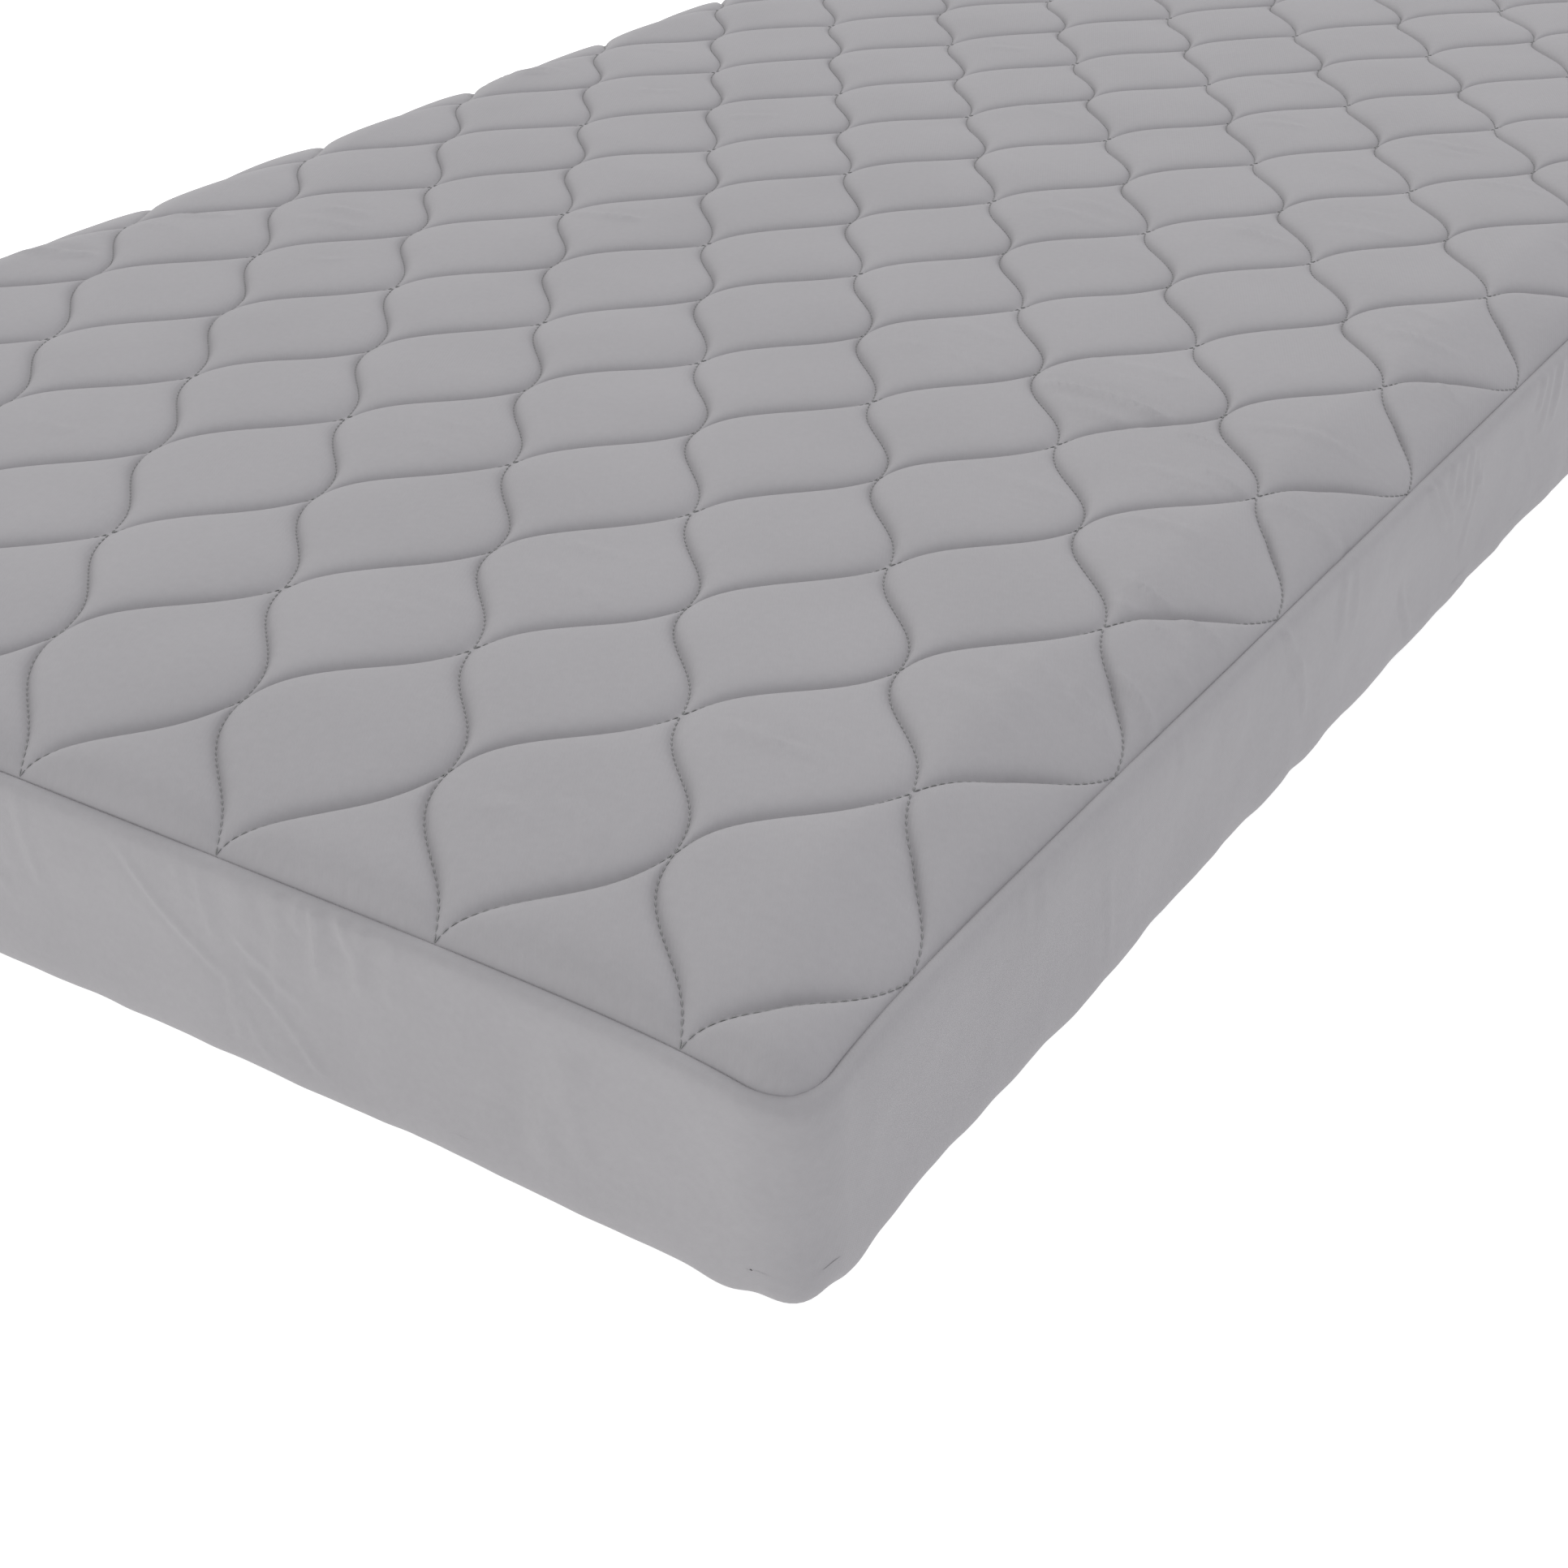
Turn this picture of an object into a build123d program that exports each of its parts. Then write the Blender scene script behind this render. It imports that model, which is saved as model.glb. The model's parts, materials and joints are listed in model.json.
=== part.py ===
from build123d import *
import os

# Foam pressure relief mattress in a fitted quilted cover. Millimetres, +Z up, +Y towards the head end.
# Origin: centre of the underside. Every layer is made full length, then cut into the four sections
# that follow a profiling bed: calf, thigh, seat and back.

# Overall size
WIDTH = 880
LENGTH = 2000
HEIGHT = 130
CORNER_RADIUS = 32

# Fitted cover: quilted panel, plain skirt and elasticated hem
PANEL_BOTTOM = 112
PANEL_INSET = 12
PANEL_EDGE_RADIUS = 11
FACE_THICKNESS = 0.8
BACKING_THICKNESS = 0.7
SKIRT_THICKNESS = 1.2
SKIRT_SHOULDER_RADIUS = 10
SEAM_ALLOWANCE = 10
SKIRT_RETURN = 76
HEM_WIDTH = 14
HEM_BOTTOM = 0.3
HEM_TOP = 3.4
HEM_FABRIC = 0.7
HEM_CORNER_RADIUS = 60
ELASTIC_WIDTH = 10
ELASTIC_THICKNESS = 1.4

# Inner mattress: sewn sleeve, in two fabrics, round the foam
SLEEVE_ROOM = 2.5
SLEEVE_BOTTOM = 3.6
SLEEVE_THICKNESS = 1.0
SLEEVE_EDGE_RADIUS = 8
SLEEVE_SEAM_HEIGHT = 35

# Foam
BASE_FOAM_HEIGHT = 55
BOLSTER_WIDTH = 60
HEEL_LENGTH = 350
RELIEF_CUT_WIDTH = 4
RELIEF_CUT_DEPTH = 20
RELIEF_BLOCK = 95
PROFILE_CUT_WIDTH = 5
PROFILE_CUT_DEPTH = 30
PROFILE_CUT_SPACING = 83

# Folds. The seat ends fold about lines just over the top; the knee folds about a line low in the foam,
# so its underside has a wedge cut that closes as the calf drops.
CALF_LENGTH = 667
THIGH_LENGTH = 333
SEAT_LENGTH = 250
FOLD_GAP = 1.0
KNEE_HEIGHT = 45
KNEE_HALF_WEDGE = 15.5
OVERRUN = 20

FOOT_Y = -LENGTH / 2
KNEE_Y = FOOT_Y + CALF_LENGTH
HIP_Y = KNEE_Y + THIGH_LENGTH
BACKREST_Y = HIP_Y + SEAT_LENGTH
HEAD_Y = LENGTH / 2
SLEEVE_TOP = PANEL_BOTTOM - SKIRT_THICKNESS
FOAM_INSET = SLEEVE_ROOM + SLEEVE_THICKNESS
FOAM_BOTTOM = SLEEVE_BOTTOM + SLEEVE_THICKNESS
FOAM_TOP = SLEEVE_TOP - SLEEVE_THICKNESS
BASE_FOAM_TOP = FOAM_BOTTOM + BASE_FOAM_HEIGHT
CORE_HALF_WIDTH = WIDTH / 2 - FOAM_INSET - BOLSTER_WIDTH


def block(inset, bottom, top, corner, edge=0):
    """A block in from the outline by inset, with round corners and, if edge is given, a round top edge."""
    plan = RectangleRounded(WIDTH - 2 * inset, LENGTH - 2 * inset, corner)
    solid = Pos(0, 0, bottom) * extrude(plan, top - bottom)
    if edge:
        solid = fillet(solid.faces().sort_by(Axis.Z)[-1].edges(), edge)
    return solid


def bar(x0, x1, y0, y1, z0, z1):
    """A square-edged box between two corners."""
    middle = Pos((x0 + x1) / 2, (y0 + y1) / 2, (z0 + z1) / 2)
    return middle * Box(x1 - x0, y1 - y0, z1 - z0)


def quilt_face():
    """The quilted panel's top fabric, turned down at its edge."""
    outer = block(PANEL_INSET, PANEL_BOTTOM, HEIGHT, CORNER_RADIUS - PANEL_INSET, PANEL_EDGE_RADIUS)
    return outer - quilt_filling()


def quilt_filling():
    """All that lies inside the quilted panel's top fabric."""
    inset = PANEL_INSET + FACE_THICKNESS
    edge = PANEL_EDGE_RADIUS - FACE_THICKNESS
    return block(inset, PANEL_BOTTOM, HEIGHT - FACE_THICKNESS, CORNER_RADIUS - inset, edge)


def quilt_backing():
    """The thin fabric that closes the wadding from below."""
    inset = PANEL_INSET + FACE_THICKNESS
    return block(inset, PANEL_BOTTOM, PANEL_BOTTOM + BACKING_THICKNESS, CORNER_RADIUS - inset)


def quilt_wadding():
    """The loose fibre filling between the face and the backing."""
    return quilt_filling() - quilt_backing()


def skirt():
    """Plain side fabric: sewn under the panel's edge, down the side and turned in under the mattress."""
    inner_corner = CORNER_RADIUS - SKIRT_THICKNESS
    inner_edge = SKIRT_SHOULDER_RADIUS - SKIRT_THICKNESS
    shell = block(0, 0, PANEL_BOTTOM, CORNER_RADIUS, SKIRT_SHOULDER_RADIUS)
    shell -= block(SKIRT_THICKNESS, SKIRT_THICKNESS, SLEEVE_TOP, inner_corner, inner_edge)
    top_window = PANEL_INSET + SEAM_ALLOWANCE
    shell -= block(top_window, HEIGHT / 2, HEIGHT, CORNER_RADIUS - PANEL_INSET)
    shell -= block(SKIRT_RETURN, -OVERRUN, HEIGHT / 2, HEM_CORNER_RADIUS)
    return shell


def ring(inset, width, bottom, top):
    """A flat ring that follows the hem under the mattress."""
    outer = block(inset, bottom, top, HEM_CORNER_RADIUS)
    return outer - block(inset + width, bottom, top, HEM_CORNER_RADIUS - width)


def hem_casing():
    """The hem's folded fabric tube."""
    tube = ring(SKIRT_RETURN, HEM_WIDTH, HEM_BOTTOM, HEM_TOP)
    hollow = HEM_WIDTH - 2 * HEM_FABRIC
    return tube - ring(SKIRT_RETURN + HEM_FABRIC, hollow, HEM_BOTTOM + HEM_FABRIC, HEM_TOP - HEM_FABRIC)


def hem_elastic():
    """The elastic band that lies in the hem's tube."""
    inset = SKIRT_RETURN + (HEM_WIDTH - ELASTIC_WIDTH) / 2
    bottom = (HEM_BOTTOM + HEM_TOP - ELASTIC_THICKNESS) / 2
    return ring(inset, ELASTIC_WIDTH, bottom, bottom + ELASTIC_THICKNESS)


def sleeve():
    """The closed sleeve round the foam."""
    corner = CORNER_RADIUS - SLEEVE_ROOM
    return block(SLEEVE_ROOM, SLEEVE_BOTTOM, SLEEVE_TOP, corner, SLEEVE_EDGE_RADIUS) - foam()


def sleeve_top():
    """The stretch fabric over the foam, down to the seam in the side."""
    return sleeve() - block(0, 0, SLEEVE_SEAM_HEIGHT, CORNER_RADIUS)


def sleeve_base():
    """The heavier base fabric, up to the seam in the side."""
    return sleeve() & block(0, 0, SLEEVE_SEAM_HEIGHT, CORNER_RADIUS)


def foam():
    """The whole space that foam fills."""
    edge = SLEEVE_EDGE_RADIUS - SLEEVE_THICKNESS
    return block(FOAM_INSET, FOAM_BOTTOM, FOAM_TOP, CORNER_RADIUS - FOAM_INSET, edge)


def bolster(side):
    """The firm wall of foam along one side; side is -1 for -X and 1 for +X."""
    near, far = sorted((side * CORE_HALF_WIDTH, side * WIDTH))
    return foam() & bar(near, far, -LENGTH, LENGTH, 0, HEIGHT)


def base_foam():
    """The resilient lower layer, with cuts across its underside so that it follows a profiling bed."""
    layer = foam() & bar(-CORE_HALF_WIDTH, CORE_HALF_WIDTH, -LENGTH, LENGTH, 0, BASE_FOAM_TOP)
    count = int((HEAD_Y - KNEE_Y) / PROFILE_CUT_SPACING)
    for i in range(1, count):
        y = KNEE_Y + (i + 0.5) * PROFILE_CUT_SPACING
        half = PROFILE_CUT_WIDTH / 2
        layer -= bar(-WIDTH, WIDTH, y - half, y + half, 0, FOAM_BOTTOM + PROFILE_CUT_DEPTH)
    return layer


def relief_foam():
    """The soft upper layer, cut from above into blocks that sink one by one."""
    layer = foam() & bar(-CORE_HALF_WIDTH, CORE_HALF_WIDTH, -LENGTH, LENGTH, BASE_FOAM_TOP, HEIGHT)
    half = RELIEF_CUT_WIDTH / 2
    floor = FOAM_TOP - RELIEF_CUT_DEPTH
    across = int(CORE_HALF_WIDTH / RELIEF_BLOCK)
    for i in range(-across, across + 1):
        x = i * RELIEF_BLOCK
        layer -= bar(x - half, x + half, -LENGTH, LENGTH, floor, HEIGHT)
    along = int(LENGTH / 2 / RELIEF_BLOCK)
    for i in range(-along, along + 1):
        y = (i + 0.5) * RELIEF_BLOCK
        layer -= bar(-WIDTH, WIDTH, y - half, y + half, floor, HEIGHT)
    return layer


def section(foot_end, head_end):
    """The space of one bed section, from two outlines of points (y, z), each listed upwards."""
    outline = foot_end + head_end[::-1]
    face = Plane.YZ * make_face(Polyline(*outline, close=True))
    return extrude(face, WIDTH, both=True)


def fold(y, side, wedge=0):
    """One side of a fold: a face half the gap from y, leaning back below the knee's height by the wedge."""
    near = y + side * FOLD_GAP / 2
    lean = wedge * (KNEE_HEIGHT + OVERRUN) / KNEE_HEIGHT
    return [(near + side * lean, -OVERRUN), (near, KNEE_HEIGHT), (near, HEIGHT + OVERRUN)]


def free_end(y):
    """A face beyond the end of the mattress."""
    return [(y, -OVERRUN), (y, HEIGHT + OVERRUN)]


SECTIONS = {
    "calf": section(free_end(FOOT_Y - OVERRUN), fold(KNEE_Y, -1, KNEE_HALF_WEDGE)),
    "thigh": section(fold(KNEE_Y, 1, KNEE_HALF_WEDGE), fold(HIP_Y, -1)),
    "seat": section(fold(HIP_Y, 1), fold(BACKREST_Y, -1)),
    "back": section(fold(BACKREST_Y, 1), free_end(HEAD_Y + OVERRUN)),
}

LAYERS = {
    "quilt_face": quilt_face(),
    "quilt_wadding": quilt_wadding(),
    "quilt_backing": quilt_backing(),
    "skirt": skirt(),
    "hem_casing": hem_casing(),
    "hem_elastic": hem_elastic(),
    "sleeve_top": sleeve_top(),
    "sleeve_base": sleeve_base(),
    "bolster_left": bolster(-1),
    "bolster_right": bolster(1),
    "base_foam": base_foam(),
    "relief_foam": relief_foam(),
}

heel_space = bar(-WIDTH, WIDTH, FOOT_Y - OVERRUN, FOOT_Y + HEEL_LENGTH, 0, HEIGHT)

nodes = {}
for layer_name, layer in LAYERS.items():
    for section_name, space in SECTIONS.items():
        nodes[f"{layer_name}_{section_name}"] = layer & space
nodes["heel_foam"] = nodes["relief_foam_calf"] & heel_space
nodes["relief_foam_calf"] -= heel_space

os.makedirs("parts", exist_ok=True)
for name, shape in nodes.items():
    solids = shape.solids()
    export_step(solids[0] if len(solids) == 1 else Compound(children=solids), f"parts/{name}.step")
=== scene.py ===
import json
import math
import random

import bpy
import numpy as np
from mathutils import Euler, Matrix, Vector, noise
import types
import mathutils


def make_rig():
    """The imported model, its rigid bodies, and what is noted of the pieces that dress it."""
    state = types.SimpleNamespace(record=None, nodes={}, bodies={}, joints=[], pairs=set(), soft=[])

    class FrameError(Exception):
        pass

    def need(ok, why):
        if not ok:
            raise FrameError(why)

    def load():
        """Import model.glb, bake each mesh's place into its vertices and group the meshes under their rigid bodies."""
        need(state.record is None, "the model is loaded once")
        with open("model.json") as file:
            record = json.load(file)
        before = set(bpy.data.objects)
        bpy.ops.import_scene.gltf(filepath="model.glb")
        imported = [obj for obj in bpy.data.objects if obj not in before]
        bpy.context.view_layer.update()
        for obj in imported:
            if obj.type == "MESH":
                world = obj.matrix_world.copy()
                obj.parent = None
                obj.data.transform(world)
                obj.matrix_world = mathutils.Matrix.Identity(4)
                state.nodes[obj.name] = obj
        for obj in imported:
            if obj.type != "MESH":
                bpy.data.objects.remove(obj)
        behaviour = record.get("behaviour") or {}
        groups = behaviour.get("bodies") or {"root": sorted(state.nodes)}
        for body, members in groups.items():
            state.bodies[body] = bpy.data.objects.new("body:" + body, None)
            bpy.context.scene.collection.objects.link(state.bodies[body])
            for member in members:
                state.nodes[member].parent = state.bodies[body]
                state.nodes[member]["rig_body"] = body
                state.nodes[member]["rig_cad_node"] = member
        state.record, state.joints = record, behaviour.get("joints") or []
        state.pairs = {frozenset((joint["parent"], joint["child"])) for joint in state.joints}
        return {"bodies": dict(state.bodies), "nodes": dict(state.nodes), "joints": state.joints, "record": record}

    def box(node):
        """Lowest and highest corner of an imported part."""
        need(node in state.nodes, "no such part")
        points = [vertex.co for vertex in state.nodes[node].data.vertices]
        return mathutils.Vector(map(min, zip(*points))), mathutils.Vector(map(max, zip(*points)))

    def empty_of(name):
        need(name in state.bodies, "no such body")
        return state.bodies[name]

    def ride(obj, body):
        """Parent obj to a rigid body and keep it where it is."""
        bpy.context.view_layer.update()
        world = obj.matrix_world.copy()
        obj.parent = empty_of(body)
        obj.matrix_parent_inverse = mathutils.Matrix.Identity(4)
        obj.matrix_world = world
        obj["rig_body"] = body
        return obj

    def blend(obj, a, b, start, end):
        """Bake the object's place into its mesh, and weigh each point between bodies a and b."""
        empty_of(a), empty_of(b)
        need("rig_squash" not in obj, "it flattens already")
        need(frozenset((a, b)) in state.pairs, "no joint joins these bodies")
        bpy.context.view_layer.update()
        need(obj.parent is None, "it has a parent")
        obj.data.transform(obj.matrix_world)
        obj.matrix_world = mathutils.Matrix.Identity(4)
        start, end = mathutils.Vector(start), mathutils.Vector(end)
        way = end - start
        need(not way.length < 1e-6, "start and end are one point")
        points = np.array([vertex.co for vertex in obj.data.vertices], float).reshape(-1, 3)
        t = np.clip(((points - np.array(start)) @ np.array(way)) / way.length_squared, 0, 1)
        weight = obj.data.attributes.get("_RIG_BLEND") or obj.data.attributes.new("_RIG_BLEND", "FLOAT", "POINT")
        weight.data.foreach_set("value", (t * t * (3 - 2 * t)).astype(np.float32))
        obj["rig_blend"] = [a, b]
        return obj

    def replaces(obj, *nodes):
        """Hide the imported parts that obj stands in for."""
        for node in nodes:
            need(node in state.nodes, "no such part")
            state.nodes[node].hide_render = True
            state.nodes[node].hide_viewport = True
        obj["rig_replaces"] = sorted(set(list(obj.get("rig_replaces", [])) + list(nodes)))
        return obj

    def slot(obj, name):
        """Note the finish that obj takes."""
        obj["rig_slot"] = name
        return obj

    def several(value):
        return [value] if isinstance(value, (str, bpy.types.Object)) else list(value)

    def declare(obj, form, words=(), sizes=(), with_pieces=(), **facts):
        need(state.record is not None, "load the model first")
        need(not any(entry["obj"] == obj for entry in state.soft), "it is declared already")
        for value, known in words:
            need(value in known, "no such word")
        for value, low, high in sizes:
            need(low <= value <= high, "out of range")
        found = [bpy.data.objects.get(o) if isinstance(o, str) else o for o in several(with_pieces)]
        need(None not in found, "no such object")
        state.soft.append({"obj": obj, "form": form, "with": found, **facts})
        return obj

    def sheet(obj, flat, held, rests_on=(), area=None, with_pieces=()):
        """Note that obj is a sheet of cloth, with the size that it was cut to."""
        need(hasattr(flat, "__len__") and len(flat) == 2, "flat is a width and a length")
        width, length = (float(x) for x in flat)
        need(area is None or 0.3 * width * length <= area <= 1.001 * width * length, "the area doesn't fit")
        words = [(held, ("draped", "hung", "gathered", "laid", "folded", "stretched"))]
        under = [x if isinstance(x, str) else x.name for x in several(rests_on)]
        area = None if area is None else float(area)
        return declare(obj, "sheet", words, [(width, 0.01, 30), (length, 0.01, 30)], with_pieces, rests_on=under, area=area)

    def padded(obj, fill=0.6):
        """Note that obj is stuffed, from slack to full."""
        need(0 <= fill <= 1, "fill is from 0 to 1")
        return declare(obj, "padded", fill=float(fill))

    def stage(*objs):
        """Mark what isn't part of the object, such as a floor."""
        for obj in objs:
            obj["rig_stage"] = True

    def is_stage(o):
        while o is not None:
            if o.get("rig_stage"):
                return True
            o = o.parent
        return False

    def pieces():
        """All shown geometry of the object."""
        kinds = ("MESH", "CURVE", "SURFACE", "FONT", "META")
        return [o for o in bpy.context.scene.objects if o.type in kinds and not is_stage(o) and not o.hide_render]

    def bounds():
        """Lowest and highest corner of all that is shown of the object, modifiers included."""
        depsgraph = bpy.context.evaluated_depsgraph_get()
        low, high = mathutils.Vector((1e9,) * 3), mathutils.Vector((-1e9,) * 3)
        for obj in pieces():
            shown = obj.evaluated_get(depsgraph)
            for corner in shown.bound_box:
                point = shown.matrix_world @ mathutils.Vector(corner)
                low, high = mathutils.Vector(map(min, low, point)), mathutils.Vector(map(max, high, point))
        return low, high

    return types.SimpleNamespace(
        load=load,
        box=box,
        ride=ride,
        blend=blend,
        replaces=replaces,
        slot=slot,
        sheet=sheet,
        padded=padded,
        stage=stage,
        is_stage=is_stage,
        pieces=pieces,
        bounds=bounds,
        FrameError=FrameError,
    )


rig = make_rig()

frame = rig.load()
CAD_LOW, CAD_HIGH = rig.bounds()

# A foam mattress in a fitted cover: an ogee-quilted panel sewn to a plain skirt whose hem is drawn in
# underneath. Metres, row frame. MM turns the millimetres that cloth is measured in into metres.
MM = 0.001
HALF_WIDTH = (CAD_HIGH.x - CAD_LOW.x) / 2
HALF_LENGTH = (CAD_HIGH.y - CAD_LOW.y) / 2
TOP = CAD_HIGH.z

# Quilting: repeats across and along, and how far the S of each seam swings, as a share of a repeat
ACROSS = 8
ALONG = 12
SWING = 0.046
REPEAT_X = 2 * HALF_WIDTH / ACROSS
REPEAT_Y = 2 * HALF_LENGTH / ALONG

# Levels and insets of the quilted panel, and of the loose sleeve that lies under it
NODE_HEIGHT = TOP - 8.5 * MM
SEAM_HEIGHT = TOP - 28 * MM
SEAM_INSET = 7 * MM
SEAM_CORNER = 20 * MM
SEAM_HALF_WIDTH = HALF_WIDTH - SEAM_INSET
SEAM_HALF_LENGTH = HALF_LENGTH - SEAM_INSET
# The panel climbs from its edge seam over these widths, and with this share of the climb in a tight roll
# right beside the seam
SIDE_SLOPE = 56 * MM
END_SLOPE = 118 * MM
END_ROUNDNESS = 1.8
CORNER_SHARPNESS = 3.0
LEAST_LEVEL = 1e-3
EDGE_ROLL = 5 * MM
ROLL_SHARE = 0.28
CORNER_SAG = 9 * MM
CORNER_REACH = 45 * MM
CORNER_POINT = 3.5 * MM
PANEL_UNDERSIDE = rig.box("quilt_backing_calf")[0].z
EDGE_UNDERSIDE = SEAM_HEIGHT - 5 * MM
SLEEVE_GAP = 0.8 * MM
FOAM_GAP = 2.2 * MM
FOAM_SIDE = 5.5 * MM

FOLDS = {j["name"]: j["pos_m"][1] for j in frame["record"]["behaviour"]["joints"]}
FOLD_REACH = 80 * MM


# ------------ mesh help

def add_object(name, data):
    made = bpy.data.objects.new(name, data)
    bpy.context.scene.collection.objects.link(made)
    return made


def make_piece(name, points, faces, material, cloth=None):
    """A mesh object from numpy points and lists of faces. cloth is each point's place on the flat cloth."""
    mesh = bpy.data.meshes.new(name)
    mesh.from_pydata([tuple(p) for p in np.asarray(points, float)], [], [tuple(map(int, f)) for f in faces])
    mesh.validate()
    mesh.polygons.foreach_set("use_smooth", [True] * len(mesh.polygons))
    if cloth is not None:
        attribute = mesh.attributes.new("cloth", "FLOAT_VECTOR", "POINT")
        attribute.data.foreach_set("vector", np.asarray(cloth, np.float32).ravel())
    mesh.materials.append(material)
    return add_object(name, mesh)


def compact(points, faces, *others):
    """Drops the points that no face uses, and renumbers the faces."""
    faces = [tuple(face) for group in faces for face in group]
    used = np.unique([i for face in faces for i in face])
    number = np.full(len(points), -1)
    number[used] = np.arange(len(used))
    renumbered = [[int(number[i]) for i in face] for face in faces]
    return (points[used], renumbered) + tuple(other[used] for other in others)


def wave_noise(points, size, seed, octaves=3):
    """Smooth noise from about -1 to 1 at an array of points, one feature about size across."""
    points = np.asarray(points, float)
    offset = Vector((seed, -seed, 2 * seed))
    flat = [noise.fractal(Vector(p) / size + offset, 1.0, 2.0, octaves) for p in points.reshape(-1, 3)]
    return np.array(flat).reshape(points.shape[:-1])


def ease(share):
    """0 before 0, 1 after 1, and smooth between."""
    share = np.clip(share, 0, 1)
    return share * share * (3 - 2 * share)


# Beside each crease the cloth dips: how deep, how far away and how wide, as shares of the crease's own
DIP_DEPTH = 0.45
DIP_PLACE = 1.9
DIP_WIDTH = 1.3


def creases(s, t, folds):
    """Height of small creases in cloth over places s, t. A fold is its middle (s, t), heading in radians,
    length, width and height, and how far its middle bows out."""
    rise = np.zeros(np.shape(s))
    for middle_s, middle_t, heading, length, width, height, bow in folds:
        near = (np.abs(s - middle_s) < length) & (np.abs(t - middle_t) < length)
        ds, dt = s[near] - middle_s, t[near] - middle_t
        along = (ds * math.cos(heading) + dt * math.sin(heading)) / (length / 2)
        across = dt * math.cos(heading) - ds * math.sin(heading) + bow * along ** 2
        fade = ease(2 * (1 - np.abs(along)))
        ridge = np.exp(-(across / width) ** 2)
        dip = np.exp(-((across - DIP_PLACE * width) / (DIP_WIDTH * width)) ** 2)
        rise[near] += height * fade * (ridge - DIP_DEPTH * dip)
    return rise


def round_corners(x, y, half_width, half_length, radius):
    """Moves points of a square-cornered sheet so that its corners are round."""
    px = (np.abs(x) - (half_width - radius)) / radius
    py = (np.abs(y) - (half_length - radius)) / radius
    corner = (px > 0) & (py > 0)
    qx = np.where(corner, px * np.sqrt(1 - np.clip(py, 0, 1) ** 2 / 2), px)
    qy = np.where(corner, py * np.sqrt(1 - np.clip(px, 0, 1) ** 2 / 2), py)
    new_x = np.where(corner, np.sign(x) * (half_width - radius + radius * qx), x)
    new_y = np.where(corner, np.sign(y) * (half_length - radius + radius * qy), y)
    return new_x, new_y


def corner_share(x, y):
    """1 at the seam's corners, fading away from them."""
    away = np.hypot(np.abs(x) - SEAM_HALF_WIDTH, np.abs(y) - SEAM_HALF_LENGTH)
    return np.exp(-away / CORNER_REACH)


def edge_distances(x, y):
    """How far a place is in from the seam at the sides, and at the ends."""
    return np.maximum(SEAM_HALF_WIDTH - np.abs(x), 0), np.maximum(SEAM_HALF_LENGTH - np.abs(y), 0)


def panel_level(x, y):
    """How far the panel has risen from its edge seam, 0, towards its full height, 1."""
    from_side, from_end = edge_distances(x, y)
    side_climb = ease(from_side / SIDE_SLOPE)
    end_climb = 1 - (1 - np.clip(from_end / END_SLOPE, 0, 1)) ** END_ROUNDNESS
    total = -1.0
    for inside, climb in ((from_side, side_climb), (from_end, end_climb)):
        roll = 1 - np.exp(-inside / EDGE_ROLL)
        level = (1 - ROLL_SHARE) * climb + ROLL_SHARE * roll
        total = total + np.maximum(level, LEAST_LEVEL) ** -CORNER_SHARPNESS
    return total ** (-1 / CORNER_SHARPNESS)


def sag(x, y):
    """How far the cover droops at its corners, where nothing fills it."""
    return CORNER_SAG * corner_share(x, y)


def under_panel(x, y, gap):
    """Height of what lies under the panel, with a gap between."""
    rise = (PANEL_UNDERSIDE - EDGE_UNDERSIDE) * panel_level(x, y)
    return EDGE_UNDERSIDE + rise - sag(x, y) - gap


def vertex_normals(points, faces):
    """Smooth normals of a mesh. A triangle counts as a four-cornered face whose last corner comes twice."""
    corners = np.array([tuple(face) + (face[-1],) * (4 - len(face)) for face in faces])
    p = points[corners]
    face_normals = np.cross(p[:, 2] - p[:, 0], p[:, 3] - p[:, 1])
    normals = np.zeros_like(points)
    for corner in range(4):
        np.add.at(normals, corners[:, corner], face_normals)
    return normals / np.maximum(np.linalg.norm(normals, axis=1), 1e-12)[:, None]


def cell_corners(grid):
    """The four corners of each cell of a grid, in order round the cell."""
    return np.stack([grid[:-1, :-1], grid[1:, :-1], grid[1:, 1:], grid[:-1, 1:]], -1)


def cloth_places(around, across):
    """Places on the flat cloth, from lengths round the mattress and across the cloth."""
    around, across = np.broadcast_arrays(around, across)
    return np.stack([around, across, np.zeros(around.shape)], -1)


def borders(faces):
    """The edges that only one face has, in that face's order."""
    edges = set()
    for face in faces:
        edges.update(zip(face, face[1:] + face[:1]))
    return [(start, end) for start, end in edges if (end, start) not in edges]


def shell(name, points, faces, normals, cloth, material, under):
    """A closed sheet between points and under, the same points on its other side."""
    faces = [tuple(int(i) for i in face) for face in faces]
    count = len(points)
    below = [tuple(count + i for i in reversed(face)) for face in faces]
    walls = [(end, start, start + count, end + count) for start, end in sorted(borders(faces))]
    used, kept, flat, facing = compact(
        np.concatenate([points, under]), [faces, below, walls],
        np.concatenate([cloth, cloth]), np.concatenate([normals, -normals]),
    )
    piece = make_piece(name, used, kept, material, flat)
    piece.data.normals_split_custom_set_from_vertices([tuple(n) for n in facing])
    return piece


# ------------ materials

def new_material(name):
    material = bpy.data.materials.new(name)
    material.use_nodes = True
    nodes = material.node_tree.nodes
    nodes.clear()
    shader = nodes.new("ShaderNodeBsdfPrincipled")
    output = nodes.new("ShaderNodeOutputMaterial")
    material.node_tree.links.new(shader.outputs["BSDF"], output.inputs["Surface"])
    return material, shader


def node(material, kind, **values):
    made = material.node_tree.nodes.new(kind)
    for key, value in values.items():
        if hasattr(made, key):
            setattr(made, key, value)
        else:
            made.inputs[key].default_value = value
    return made


def link(material, source, target):
    material.node_tree.links.new(source, target)


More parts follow.
